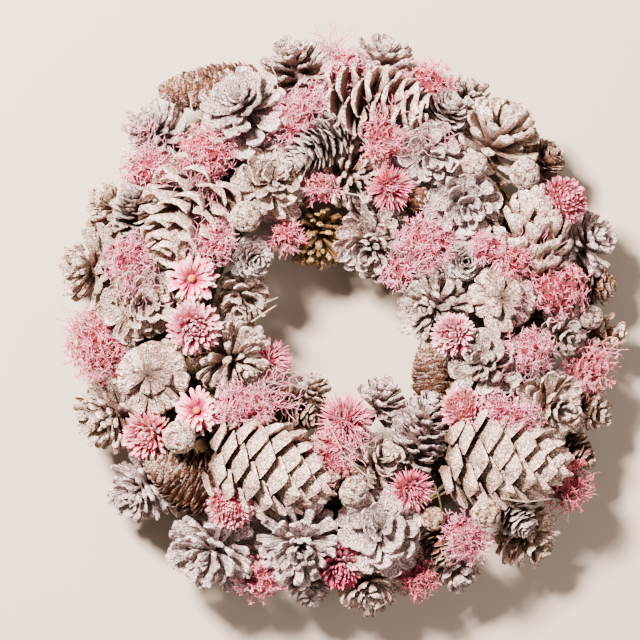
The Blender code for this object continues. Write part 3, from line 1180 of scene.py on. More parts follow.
class Kind(Enum):
    """The kinds of cone and flower."""

    PINE = Habit(
        ScaleForm.ROUNDED, 64, lift=(-16, 16, 56), root=(0.14, 0.14, 0.02), height=(-0.62, -0.08, 0.5),
        length=(0.78, 0.92, 0.38), width=(0.33, 0.37, 0.2), uneven=0.4, rough=0.15, core=(0.22, 0.32),
    )
    ROSETTE = Habit(
        ScaleForm.ROUNDED, 52, lift=(-16, 14, 50), root=(0.12, 0.14, 0.02), height=(-0.6, -0.1, 0.42),
        length=(0.84, 0.88, 0.36), width=(0.42, 0.42, 0.2), thickness=1.05, uneven=0.38, rough=0.15,
        core=(0.22, 0.28),
    )
    FINGERED = Habit(
        ScaleForm.FINGER, 92, lift=(-18, 16, 78), root=(0.12, 0.14, 0.03), height=(-0.7, -0.08, 0.42),
        length=(0.8, 0.96, 0.46), width=(0.20, 0.24, 0.17), uneven=0.42, rough=0.14, core=(0.22, 0.34),
    )
    CHUNKY = Habit(
        ScaleForm.FINGER, 50, lift=(0, 34, 78), root=(0.16, 0.2, 0.04), height=(-0.8, -0.1, 0.5),
        length=(0.8, 1.05, 0.66), width=(0.34, 0.4, 0.28), thickness=1.2, uneven=0.22, rough=0.07,
        core=(0.3, 0.6),
    )
    LOOSE = Habit(
        ScaleForm.ROUNDED, 92, lift=(8, 24, 64), root=(0.28, 0.34, 0.06), height=(-0.86, 0.0, 0.8),
        length=(0.62, 0.7, 0.44), width=(0.34, 0.38, 0.26), thickness=1.1, uneven=0.34, rough=0.16,
        core=(0.4, 0.76),
    )
    SLATTED = Habit(
        ScaleForm.SLAT, 52, lift=(-14, 6, 56), root=(0.12, 0.16, 0.05), height=(-0.86, -0.06, 0.7),
        length=(0.86, 0.92, 0.6), width=(0.95, 1.1, 0.66), thickness=0.8, uneven=0.1, rough=0.08,
    )
    MARITIME = Habit(
        ScaleForm.DIAMOND, 74, lift=(30, 57, 82), root=(0.5, 0.62, 0.12), height=(-0.86, -0.14, 0.7),
        length=(0.66, 0.82, 0.56), width=(0.76, 0.86, 0.5), thickness=0.8, uneven=0.12, rough=0.05,
        core=(0.62, 0.82),
    )
    BLADED = Habit(
        ScaleForm.SLAT, 50, lift=(8, 36, 72), root=(0.34, 0.42, 0.1), height=(-0.86, -0.1, 0.7),
        length=(0.8, 0.88, 0.6), width=(0.7, 0.8, 0.5), thickness=0.9, uneven=0.14, rough=0.09,
        core=(0.4, 0.7),
    )
    BUDDED = Habit(
        ScaleForm.ROUNDED, 66, lift=(20, 44, 80), root=(0.44, 0.54, 0.1), height=(-0.88, -0.1, 0.72),
        length=(0.6, 0.74, 0.5), width=(0.42, 0.5, 0.34), thickness=1.7, uneven=0.34, rough=0.08,
        core=(0.5, 0.8),
    )
    SPRUCE = Habit(
        ScaleForm.THIN, 180, lift=(32, 46, 78), root=(0.56, 0.66, 0.14), height=(-0.92, 0.0, 0.88),
        length=(0.54, 0.56, 0.42), width=(0.72, 0.84, 0.46), thickness=0.9, uneven=0.2, rough=0.03,
        core=(0.62, 0.9),
    )
    FROSTED = Habit(
        ScaleForm.THIN, 160, lift=(10, 26, 74), root=(0.34, 0.42, 0.08), height=(-0.88, 0.0, 0.82),
        length=(0.64, 0.7, 0.46), width=(0.46, 0.54, 0.32), thickness=1.4, uneven=0.3, rough=0.10,
        core=(0.44, 0.82),
    )
    SMALL = Habit(
        ScaleForm.ROUNDED, 38, lift=(-12, 24, 56), root=(0.16, 0.16, 0.02), height=(-0.6, -0.05, 0.48),
        length=(0.76, 0.88, 0.44), width=(0.46, 0.52, 0.26), thickness=1.2, uneven=0.38, rough=0.2,
        core=(0.22, 0.4),
    )
    DARK = Habit(
        ScaleForm.THIN, 84, lift=(-4, 24, 74), root=(0.24, 0.3, 0.08), height=(-0.75, 0.0, 0.62),
        length=(0.74, 0.8, 0.5), width=(0.5, 0.62, 0.36), thickness=1.5, uneven=0.32, rough=0.12,
        core=(0.35, 0.7),
    )
    UNDERSIDE = Habit(
        ScaleForm.PANEL, 26, lift=(18, 30, 66), root=(0.06, 0.14, 0.05), height=(-0.25, 0.1, 0.6),
        length=(0.84, 0.8, 0.5), width=(0.5, 0.5, 0.36), thickness=0.75, uneven=0.2, rough=0.12,
        core=(0.12, 0.9),
    )
    BASE_RING = Habit(
        ScaleForm.PANEL, 10, lift=(9, 9, 9), root=(0.05, 0.05, 0.05), height=(-0.5, -0.5, -0.5),
        length=(0.96, 0.96, 0.96), width=(0.62, 0.62, 0.62), thickness=0.8, uneven=0.24, rough=0.12,
        core=(0.1, 0.6), turn=36.0, roll=22.0,
    )
    BASE_HEART = Habit(
        ScaleForm.PANEL, 7, lift=(2, 2, 2), root=(0.02, 0.02, 0.02), height=(-0.82, -0.82, -0.82),
        length=(0.56, 0.56, 0.56), width=(0.42, 0.42, 0.42), uneven=0.36, rough=0.1, core=(0.09, 1.0),
        turn=51.4, roll=22.0,
    )
    BALL = Habit(
        ScaleForm.BRACT, 150, lift=(-40, 22, 88), root=(0.40, 0.46, 0.04), height=(-0.5, 0.05, 0.3),
        length=(0.5, 0.62, 0.42), width=(0.17, 0.20, 0.14), uneven=0.3, core=(0.5, 0.55),
    )
    POMPON = Habit(
        ScaleForm.BRACT, 320, lift=(-50, 15, 88), root=(0.62, 0.70, 0.05), height=(-0.55, 0.1, 0.66),
        length=(0.30, 0.33, 0.28), width=(0.11, 0.13, 0.10), thickness=1.1, uneven=0.5,
        core=(0.72, 0.74),
    )
    SPIKY = Habit(
        ScaleForm.NEEDLE, 240, lift=(-40, 24, 88), root=(0.34, 0.38, 0.04), height=(-0.45, 0.05, 0.34),
        length=(0.54, 0.64, 0.56), width=(0.09, 0.10, 0.08), uneven=0.55, core=(0.44, 0.52),
    )
    DAISY = Habit(
        ScaleForm.PETAL, 74, lift=(-16, 12, 36), root=(0.1, 0.16, 0.2), height=(-0.3, -0.1, 0.1),
        length=(0.84, 0.86, 0.5), width=(0.19, 0.19, 0.13), uneven=0.36, core=(0.2, 0.3),
    )


@dataclass(frozen=True)
class Growth:
    """One cone or flower of the wreath, which stands for its node or for a share of it.

    Attributes:
        name: The piece's name.
        node: The solid's name.
        kind: How it grows.
        tone: Its finish.
        width: Its width in millimetres.
        length: Its length in millimetres.
        place: Its place.
    """

    name: str
    node: str
    kind: Kind
    tone: Tone
    width: float
    length: float
    place: Place

    def build(self, seed: int) -> None:
        """Grows the piece and sets it in its place.

        Args:
            seed: The seed of its uneven scales.
        """
        piece = self.kind.value.grow(self.name, self.width, self.length, self.tone, seed)
        piece.data.transform(self.place.matrix)
        hand_in(piece, self.tone, self.node)


def scales(node: str, kind: Kind, tone: Tone, width: float, length: float, place: Place) -> Growth:
    """The cone that stands for a solid and is named after it."""
    return Growth(node + "_scales", node, kind, tone, width, length, place)


def bracts(node: str, kind: Kind, tone: Tone, width: float, length: float, place: Place) -> Growth:
    """The flower that stands for a solid and is named after it."""
    return Growth(node + "_bracts", node, kind, tone, width, length, place)


def turned_cone(node: str, width: float, length: float, place: Place) -> tuple[Growth, ...]:
    """A cone that shows its base: its scales, the ring of its lowest ones and those at its heart.

    Args:
        node: The solid's name.
        width: Its width in millimetres.
        length: Its length in millimetres.
        place: Its place.

    Returns:
        The three pieces.
    """
    parts = {"_scales": Kind.UNDERSIDE, "_ring": Kind.BASE_RING, "_heart": Kind.BASE_HEART}
    return tuple(
        Growth(node + ending, node, kind, Tone.BASE, width, length, place) for ending, kind in parts.items()
    )


# In millimetres and degrees: width, length, then the place of the middle and the tip's direction.
CONES = (
    scales("open_cone_top", Kind.PINE, Tone.GREY, 45, 46, Place(-29, 155, 33, 110, 34)),
    scales("open_cone_top_right", Kind.PINE, Tone.GREY, 45, 44, Place(23, 156, 32, 80, 28)),
    scales("slatted_cone_top", Kind.SLATTED, Tone.RIMMED, 44, 66, Place(18, 130, 59, -8, 12)),
    scales("open_cone_upper_left", Kind.ROSETTE, Tone.LILAC, 56, 46, Place(-61, 126, 62, 115, 58)),
    scales("brown_spruce_cone_upper_left", Kind.SPRUCE, Tone.BARK, 28, 64, Place(-80, 142, 42, 184, 4)),
    scales("open_cone_left_rim_high", Kind.FINGERED, Tone.LILAC, 42, 44, Place(-114, 114, 35, 135, 46)),
    scales("open_cone_left_rim", Kind.FINGERED, Tone.TAN, 40, 44, Place(-138, 68, 29, 160, 22)),
    Growth(
        "dark_cone_left_rim", "open_cone_left_rim",
        Kind.DARK, Tone.FROST, 26, 36, Place(-127, 65, 59, 95, 34),
    ),
    scales("maritime_cone_left", Kind.BLADED, Tone.CHALK, 52, 62, Place(-93, 64, 61, 240, 24)),
    scales("open_cone_inner_upper_left", Kind.ROSETTE, Tone.CREAM, 46, 38, Place(-44, 82, 63, 60, 70)),
    Growth(
        "dark_cone_inner_left", "open_cone_inner_upper_left",
        Kind.DARK, Tone.FROST, 24, 26, Place(-56, 37, 62, -30, 60),
    ),
    scales("frosted_cone_top", Kind.FROSTED, Tone.FROST, 30, 46, Place(-17, 104, 67, 215, 18)),
    scales("open_cone_inner_top", Kind.FINGERED, Tone.CREAM, 38, 38, Place(4, 87, 56, -15, 32)),
    scales("golden_cone_hole_top", Kind.FINGERED, Tone.GOLD, 38, 38, Place(-16, 51, 38, -100, 12)),
    scales("open_cone_hole_upper_right", Kind.PINE, Tone.GREY, 44, 40, Place(17, 47, 50, -110, 52)),
    scales("open_cone_upper_right", Kind.ROSETTE, Tone.LILAC, 45, 38, Place(49, 99, 64, -60, 74)),
    scales("frosted_cone_upper_right", Kind.DARK, Tone.FROST, 28, 30, Place(60, 123, 57, 60, 45)),
    Growth(
        "small_cone_upper_right", "frosted_cone_upper_right",
        Kind.SMALL, Tone.GREY, 34, 38, Place(73, 135, 35, 60, 20),
    ),
    scales("open_cone_right_high", Kind.CHUNKY, Tone.CREAM, 48, 46, Place(91, 108, 54, 62, 40)),
    Growth(
        "dark_cone_right_high", "open_cone_right_high",
        Kind.DARK, Tone.BARK, 28, 32, Place(118, 96, 38, 40, 35),
    ),
    scales("open_cone_inner_right_high", Kind.ROSETTE, Tone.LILAC, 46, 38, Place(72, 68, 64, -80, 74)),
    Growth(
        "dark_cone_inner_right", "open_cone_inner_right_high",
        Kind.DARK, Tone.FROST, 24, 26, Place(71, 35, 64, -60, 80),
    ),
    scales("slatted_cone_right", Kind.BUDDED, Tone.CREAM, 48, 58, Place(112, 50, 58, 84, 22)),
    Growth(
        "small_cone_right_rim", "slatted_cone_right",
        Kind.FINGERED, Tone.LILAC, 38, 38, Place(146, 47, 38, 25, 40),
    ),
    Growth(
        "dark_cone_right_rim", "slatted_cone_right",
        Kind.DARK, Tone.BARK, 27, 32, Place(149, 22, 31, 5, 15),
    ),
    scales("open_cone_hole_right", Kind.FINGERED, Tone.GREY, 46, 40, Place(54, 8, 50, 195, 58)),
    *turned_cone("cone_underside_right", 42, 30, Place(95, 12, 64, 0, -80)),
    scales("cone_right_rim", Kind.SMALL, Tone.TAN, 30, 38, Place(156, -7, 29, -5, 12)),
    Growth(
        "small_cone_right", "cone_right_rim",
        Kind.SMALL, Tone.GREY, 28, 30, Place(130, -9, 56, -30, 60),
    ),
    scales("open_cone_right", Kind.ROSETTE, Tone.GREY, 46, 38, Place(82, -28, 63, 150, 74)),
    scales("brown_spruce_cone_hole_right", Kind.SPRUCE, Tone.BARK, 28, 46, Place(55, -34, 42, 100, 8)),
    scales("open_cone_lower_right", Kind.PINE, Tone.CREAM, 45, 42, Place(122, -51, 57, -30, 55)),
    Growth(
        "small_cone_lower_right_rim", "open_cone_lower_right",
        Kind.SMALL, Tone.TAN, 32, 36, Place(146, -53, 32, -20, 18),
    ),
    Growth(
        "dark_cone_lower_right_rim", "open_cone_lower_right",
        Kind.DARK, Tone.BARK, 26, 32, Place(137, -78, 33, -30, 12),
    ),
    scales("frosted_cone_lower_right", Kind.LOOSE, Tone.LILAC, 35, 50, Place(45, -67, 56, 72, 26)),
    scales("maritime_cone_lower_right", Kind.MARITIME, Tone.CHALK, 56, 82, Place(93, -83, 60.5, -6, 8)),
    scales("open_cone_lower_right_rim", Kind.PINE, Tone.TAN, 42, 44, Place(109, -128, 33, -50, 18)),
    Growth(
        "dark_cone_lower_right", "open_cone_lower_right_rim",
        Kind.DARK, Tone.FROST, 24, 29, Place(101, -117, 57, -50, 20),
    ),
    scales("cone_bottom_right", Kind.SMALL, Tone.GREY, 34, 42, Place(66, -146, 34, -65, 22)),
    Growth(
        "dark_cone_bottom_right", "cone_bottom_right",
        Kind.DARK, Tone.BARK, 25, 30, Place(57, -133, 50, -70, 20),
    ),
    scales("open_cone_bottom_right", Kind.ROSETTE, Tone.LILAC, 53, 42, Place(21, -126, 64, 90, 76)),
    scales("open_cone_hole_bottom", Kind.SMALL, Tone.CREAM, 34, 32, Place(18, -85, 58, 45, 60)),
    Growth(
        "pale_cone_hole_bottom", "open_cone_hole_bottom",
        Kind.SMALL, Tone.LILAC, 32, 36, Place(21, -49, 41, 78, 28),
    ),
    scales("brown_cone_hole_bottom", Kind.DARK, Tone.BARK, 29, 38, Place(-33, -56, 54, -15, 30)),
    Growth(
        "small_cone_hole_bottom", "brown_cone_hole_bottom",
        Kind.SMALL, Tone.CREAM, 26, 28, Place(-20, -43, 35, 80, 16),
    ),
    scales("maritime_cone_lower_left", Kind.MARITIME, Tone.CHALK, 56, 86, Place(-46, -90, 62, -12, 8)),
    scales("open_cone_bottom", Kind.FINGERED, Tone.LILAC, 47, 40, Place(-27, -134, 62, -90, 74)),
    Growth(
        "dark_cone_bottom", "open_cone_bottom",
        Kind.DARK, Tone.FROST, 28, 36, Place(-22, -155, 36, -80, 12),
    ),
    scales("open_cone_bottom_rim", Kind.PINE, Tone.CREAM, 45, 42, Place(15, -155, 41, -84, 42)),
    scales("open_cone_lower_left", Kind.FINGERED, Tone.LILAC, 54, 50, Place(-78, -136, 50, -130, 56)),
    scales("brown_spruce_cone_lower_left", Kind.SPRUCE, Tone.BARK, 34, 52, Place(-94, -95, 52, 152, 14)),
    scales("open_cone_lower_left_rim", Kind.FINGERED, Tone.LILAC, 44, 44, Place(-121, -100, 36, -140, 42)),
    *turned_cone("cone_underside_left", 46, 32, Place(-115, -34, 64, 0, -80)),
    Growth(
        "open_cone_left_low_rim", "cone_underside_left",
        Kind.FINGERED, Tone.CREAM, 48, 46, Place(-139, -56, 36, 205, 40),
    ),
    scales("open_cone_left", Kind.ROSETTE, Tone.CREAM, 46, 38, Place(-123, 10, 60, -30, 70)),
    Growth(
        "open_cone_left_rim_middle", "open_cone_left",
        Kind.FINGERED, Tone.CREAM, 47, 44, Place(-151, 32, 35, 172, 48),
    ),
    scales("open_cone_hole_left", Kind.FINGERED, Tone.CREAM, 45, 44, Place(-66, -25, 57, -40, 48)),
    Growth(
        "small_cone_hole_left", "open_cone_hole_left",
        Kind.SMALL, Tone.CREAM, 34, 36, Place(-62, 14, 50, -100, 45),
    ),
)

FLOWERS = (
    bracts("strawflower_inner_top", Kind.SPIKY, Tone.ROSE, 28, 20, Place(27, 78, 72, -60, 75)),
    bracts("strawflower_right_high", Kind.POMPON, Tone.ROSE, 28, 26, Place(131, 71, 66, 20, 66)),
    bracts("strawflower_hole_right", Kind.BALL, Tone.BLUSH, 25, 20, Place(64, -10, 71, 200, 72)),
    bracts("strawflower_right", Kind.POMPON, Tone.SALMON, 26, 22, Place(70, -54, 72, 120, 75)),
    bracts("strawflower_bottom_right", Kind.SPIKY, Tone.ROSE, 27, 20, Place(39, -102, 71, -60, 70)),
    bracts("strawflower_hole_bottom", Kind.SPIKY, Tone.ROSE, 34, 24, Place(0, -60, 65, 90, 70)),
    Growth(
        "strawflower_left_low_bracts", "strawflowers_left_low",
        Kind.DAISY, Tone.RAY, 28, 22, Place(-88, -55, 73, 100, 78),
    ),
    Growth(
        "strawflower_left_rim_bracts", "strawflowers_left_low",
        Kind.BALL, Tone.SALMON, 30, 25, Place(-118, -69, 62, 200, 60),
    ),
    Growth(
        "strawflower_daisy_petals", "strawflowers_left",
        Kind.DAISY, Tone.RAY, 30, 16, Place(-91, 23, 76, -90, 84),
    ),
    Growth(
        "strawflower_left_bracts", "strawflowers_left",
        Kind.BALL, Tone.BLUSH, 31, 24, Place(-90, -6, 75, -60, 80),
    ),
    bracts("strawflower_hole_left", Kind.SPIKY, Tone.ROSE, 26, 22, Place(-43, -24, 46, 0, 30)),
    bracts("strawflower_bottom_left", Kind.POMPON, Tone.SALMON, 27, 22, Place(-68, -112, 74, -110, 74)),
    bracts("strawflower_bottom", Kind.BALL, Tone.WINE, 26, 23, Place(-3, -148, 59, -80, 62)),
)


def kept(shape: bmesh.types.BMesh, name: str) -> bpy.types.Object:
    """Makes a smooth object of a mesh and links it.

    Args:
        shape: The mesh, which is freed.
        name: The object's name.

    Returns:
        The object.
    """
    made = bpy.data.meshes.new(name)
    shape.to_mesh(made)
    shape.free()
    made.shade_smooth()
    piece = bpy.data.objects.new(name, made)
    bpy.context.scene.collection.objects.link(piece)
    return piece


def any_way(draw: random.Random) -> Vector:
    """A random vector in the cube from -1 to 1."""
    return Vector((draw.uniform(-1, 1), draw.uniform(-1, 1), draw.uniform(-1, 1)))


@dataclass(frozen=True)
class Globe:
    """A small round cone with cracked plates.

    Attributes:
        name: The piece's name.
        tone: Its finish.
        width: Its width in millimetres.
        place: Its place.
        long: Its length over its width.
    """

    name: str
    tone: Tone
    width: float
    place: Place
    long: float = 1.0

    SUBDIVISIONS = 4
    PLATES = 26
    CRACK = 0.14
    DEPTH = 0.16
    DOME = 0.25
    ROUGH, ROUGH_SCALE = 0.03, 6
    # Low in the cracks: less paint there, and painted shade in the grooves.
    CRACK_PAINT, PLATE_PAINT = 0.15, 0.85
    SHADE_STEP = 0.37
    WANDER = 0.18

    def build(self, seed: int) -> None:
        """Raises rounded plates from a ball, with cracks between them.

        Args:
            seed: The seed of where the plates lie.
        """
        draw = random.Random(seed)
        centres = [self._spread(number, draw) for number in range(self.PLATES)]
        shape = bmesh.new()
        bmesh.ops.create_icosphere(shape, subdivisions=self.SUBDIVISIONS, radius=1.0)
        along = shape.verts.layers.float.new("along")
        shade = shape.verts.layers.float.new("shade")
        for point in shape.verts:
            out = point.co.normalized()
            near = sorted(((out - centre).length, place) for place, centre in enumerate(centres))
            gap = min(1.0, (near[1][0] - near[0][0]) / self.CRACK)
            dome = 1.0 - near[0][0] ** 2 * self.DOME
            rough = noise.noise(out * self.ROUGH_SCALE + Vector((seed, 0, 0))) * self.ROUGH
            radius = dome * (1.0 - self.DEPTH * (1.0 - gap) ** 2) + rough
            # Painted shade and bare colour in the cracks, from the low value there.
            point[along] = self.CRACK_PAINT + (self.PLATE_PAINT - self.CRACK_PAINT) * gap
            point[shade] = (near[0][1] * self.SHADE_STEP) % 1.0
            point.co = out * radius * self.width * MM / 2
            point.co.z *= self.long
        piece = kept(shape, self.name)
        piece.data.transform(self.place.matrix)
        hand_in(piece, self.tone)

    def _spread(self, number: int, draw: random.Random) -> Vector:
        """One of the plates' centres, spread evenly over the ball and then moved a little.

        Args:
            number: Which plate.
            draw: The source of the random move.

        Returns:
            The centre, on the ball of radius 1.
        """
        height = 1 - 2 * (number + 0.5) / self.PLATES
        across = math.sqrt(1 - height * height)
        angle = math.radians(GOLDEN_TURN) * number
        even = Vector((math.cos(angle) * across, math.sin(angle) * across, height))
        return (even + any_way(draw) * self.WANDER).normalized()


GLOBES = (
    Globe("globe_inner_upper_left", Tone.NUT, 19, Place(-59, 60, 77)),
    Globe("globe_right_high", Tone.NUT, 16, Place(77, 91, 78)),
    Globe("globe_right_rim_high", Tone.NUT, 19, Place(107, 86, 72)),
    Globe("globe_inner_right", Tone.BARK, 15, Place(45, 73, 61)),
    Globe("globe_right_rim", Tone.NUT, 15, Place(148, 2, 51)),
    Globe("globe_lower_right", Tone.TAN_NUT, 18, Place(83, -116, 76)),
    Globe("globe_bottom_right", Tone.TAN_NUT, 15, Place(52, -119, 64)),
    Globe("globe_hole_bottom", Tone.NUT, 17, Place(5, -103, 73, 60, 30), 1.25),
    Globe("globe_lower_left", Tone.NUT, 20, Place(-98, -71, 79)),
    Globe("daisy_eye_left", Tone.YOLK, 4.2, Place(-91, 23, 79)),
    Globe("daisy_eye_left_low", Tone.YOLK, 4, Place(-88, -55, 77)),
)


class Moss:
    """The geometry node tree that fills an ellipsoid with fine sprigs."""

    NAME = "sprigs_in_a_tuft"
    DEPTH = (0.0, 1.15)
    SIZE = (0.7, 1.25)
    # The heart's low along value: little paint, and the painted shade of a root.
    HEART_PAINT_AND_SHADE = 0.28
    HEART_SUBDIVISIONS = 4
    HEART_ROUGH, HEART_ROUGH_SCALE = 0.012, 520.0
    INPUTS = {
        "Sprig": "Geometry",
        "Count": "Int",
        "Reach": "Vector",
        "Size": "Float",
        "Heart": "Float",
        "Seed": "Int",
        "Finish": "Material",
    }

    @classmethod
    def tree(cls) -> bpy.types.NodeTree:
        """The tree, built once."""
        return bpy.data.node_groups.get(cls.NAME) or cls._build()

    @classmethod
    def _build(cls) -> bpy.types.NodeTree:
        """Builds the tree.

        Returns:
            The tree.
        """
        graph = new_group(cls.NAME, "GeometryNodeTree", cls.INPUTS, {"Geometry": "Geometry"})
        given = graph.node("NodeGroupInput").outputs
        seed = given["Seed"]

        def draw(number: int, low: float, high: float) -> Link:
            """A random number for each sprig."""
            return graph.chance(low, high, graph.math("ADD", seed, float(number)))

        height = draw(1, -1.0, 1.0)
        angle = draw(2, 0.0, math.tau)
        across = graph.math("SQRT", graph.math("SUBTRACT", 1.0, graph.math("POWER", height, 2.0)))
        away = graph.vector(
            graph.times(graph.math("COSINE", angle), across),
            graph.times(graph.math("SINE", angle), across),
            height,
        )
        depth = graph.math("SQRT", draw(3, *cls.DEPTH))
        place = graph.vector_math("MULTIPLY", graph.vector_math("SCALE", away, depth), given["Reach"])
        points = graph.node("GeometryNodePoints", {"Count": given["Count"], "Position": place})
        wander = graph.vector(draw(4, -1.0, 1.0), draw(5, -1.0, 1.0), draw(6, -1.0, 1.0))
        facing = graph.vector_math("ADD", away, wander)
        turned = graph.node("FunctionNodeAlignRotationToVector", {"Vector": facing}, axis="X")
        roll = graph.vector(draw(7, 0.0, math.tau), 0.0, 0.0)
        rolled = graph.node("FunctionNodeEulerToRotation", {0: roll})
        rotation = graph.node(
            "FunctionNodeRotateRotation",
            {0: turned.outputs[0], 1: rolled.outputs[0]},
            rotation_space="LOCAL",
        ).outputs[0]
        size = graph.times(given["Size"], draw(8, *cls.SIZE))
        scale = graph.vector(size, size, size)
        sprigs = graph.instances(points.outputs[0], given["Sprig"], rotation, scale)
        sprigs = graph.store(sprigs, "shade", draw(9, 0.0, 1.0), "INSTANCE")
        sprigs = graph.node("GeometryNodeRealizeInstances", {0: sprigs}).outputs[0]
        graph.finish((cls._heart(graph, given), sprigs), given["Finish"])
        return graph.tree

    @classmethod
    def _heart(cls, graph: Graph, given: Any) -> Link:
        """The dark, uneven body inside the tuft, which closes the gaps between its sprigs; its darkness is
        painted shade of the tuft's inside.

        Args:
            graph: The tree's graph.
            given: The tree's inputs.

        Returns:
            Its geometry.
        """
        heart = graph.node(
            "GeometryNodeMeshIcoSphere", {"Radius": 1.0, "Subdivisions": cls.HEART_SUBDIVISIONS}
        ).outputs[0]
        scale = graph.vector_math("SCALE", given["Reach"], given["Heart"])
        heart = graph.node("GeometryNodeTransform", {"Geometry": heart, "Scale": scale}).outputs[0]
        heart = graph.roughen(heart, cls.HEART_ROUGH, given["Seed"], cls.HEART_ROUGH_SCALE)
        # Painted shade: a low along value darkens the heart.
        return graph.store(heart, "along", cls.HEART_PAINT_AND_SHADE, "POINT")


class Strand:
    """Draws a thin tube along a run of points."""

    @staticmethod
    def draw(
        shape: bmesh.types.BMesh,
        run: list[Vector],
        radii: list[float],
        values: list[float],
        sides: int = 3,
    ) -> None:
        """Adds a closed tube to a mesh that has a layer named along.

        Args:
            shape: The mesh.
            run: The tube's middle line.
            radii: Its radius at each point of the line.
            values: The attribute's value at each point.
            sides: How many sides the tube has.
        """
        along = shape.verts.layers.float["along"]
        rings = []
        for number, centre in enumerate(run):
            ahead = run[min(number + 1, len(run) - 1)] - run[max(number - 1, 0)]
            turn = ahead.to_track_quat("Z", "Y")
            ring = []
            for side in range(sides):
                angle = math.tau * side / sides
                out = turn @ Vector((math.cos(angle), math.sin(angle), 0.0))
                point = shape.verts.new(centre + out * radii[number])
                point[along] = values[number]
                ring.append(point)
            rings.append(ring)
        for near, far in zip(rings, rings[1:]):
            for side in range(sides):
                after = (side + 1) % sides
                shape.faces.new((near[side], near[after], far[after], far[side]))
        shape.faces.new(rings[0][::-1])
        shape.faces.new(rings[-1])


@dataclass(frozen=True)
class Tuft:
    """A tuft of fine curled moss.

    Attributes:
        name: The piece's name.
        nodes: The solids that it stands for.
        tone: Its finish.
        reach: Its half sizes along the tip's direction, across it and up, in millimetres.
        place: Its place, with lift as the slope of its long direction.
        count: How many sprigs, before they are crowded.
    """

    name: str
    nodes: tuple[str, ...]
    tone: Tone
    reach: Triple
    place: Place
    count: int

    SIZE = 7.5
    HEART = 0.62
    CROWD = 1.3

    # A sprig, in shares of its length.
    THICK, TAPER = 0.039, 0.45
    ROOT = -0.35
    STEPS = 3
    STEP, BRANCH_STEP = 0.34, 0.24
    BRANCHES = 4
    STEM_PAINT, BRANCH_PAINT = 0.1, 0.5

    def build(self, seed: int) -> None:
        """Fills the tuft with sprigs.

        Args:
            seed: The seed of the sprigs and of where they lie.
        """
        values = {
            "Count": round(self.count * self.CROWD),
            "Reach": tuple(size * MM for size in self.reach),
            "Size": self.SIZE * MM,
            "Heart": self.HEART,
            "Seed": seed,
            "Finish": self.tone.material,
        }
        piece = grown(self.name, self._sprig(seed), Moss.tree(), values)
        plan, slope = math.radians(self.place.turn), math.radians(self.place.lift)
        middle = Vector((self.place.x, self.place.y, self.place.z)) * MM
        turn = Matrix.Rotation(plan, 4, "Z") @ Matrix.Rotation(-slope, 4, "Y")
        piece.data.transform(Matrix.Translation(middle) @ turn)
        hand_in(piece, self.tone, *self.nodes)

    def _sprig(self, seed: int) -> bpy.types.Mesh:
        """One sprig along +X, one long, with curled branches.

        Args:
            seed: The seed of its curls.

        Returns:
            The mesh.
        """
        draw = random.Random(seed)
        shape = bmesh.new()
        shape.verts.layers.float.new("along")
        run = self._wander(Vector((self.ROOT, 0, 0)), Vector((1, 0, 0)), self.STEPS, self.STEP, draw)
        self._tube(shape, run, self.STEM_PAINT)
        for _ in range(self.BRANCHES):
            start = run[draw.randint(1, len(run) - 2)]
            out = Vector((draw.uniform(0, 1), draw.uniform(-1, 1), draw.uniform(-1, 1))).normalized()
            branch = self._wander(start, out, self.STEPS - 1, self.BRANCH_STEP, draw)
            self._tube(shape, branch, self.BRANCH_PAINT)
        made = bpy.data.meshes.new(self.name + "_sprig")
        shape.to_mesh(made)
        shape.free()
        return made

    @staticmethod
    def _wander(
        start: Vector, out: Vector, steps: int, step: float, draw: random.Random
    ) -> list[Vector]:
        """A curled run of points.

        Args:
            start: The first point.
            out: The way that it sets out.
            steps: How many steps it takes.
            step: The length of a step.
            draw: The source of its bends.

        Returns:
            The points.
        """
        run = [start]
        heading = out.copy()
        for _ in range(steps):
            heading = (heading + any_way(draw)).normalized()
            run.append(run[-1] + heading * step)
        return run

    def _tube(self, shape: bmesh.types.BMesh, run: list[Vector], first: float) -> None:
        """Adds a tapering strand along a run.

        Args:
            shape: The mesh.
            run: The points.
            first: The attribute along at the first point, from which it rises to 1.
        """
        last = len(run) - 1
        radii = [self.THICK * (1 - self.TAPER * number / last) for number in range(len(run))]
        values = [first + (1 - first) * number / last for number in range(len(run))]
        Strand.draw(shape, run, radii, values)


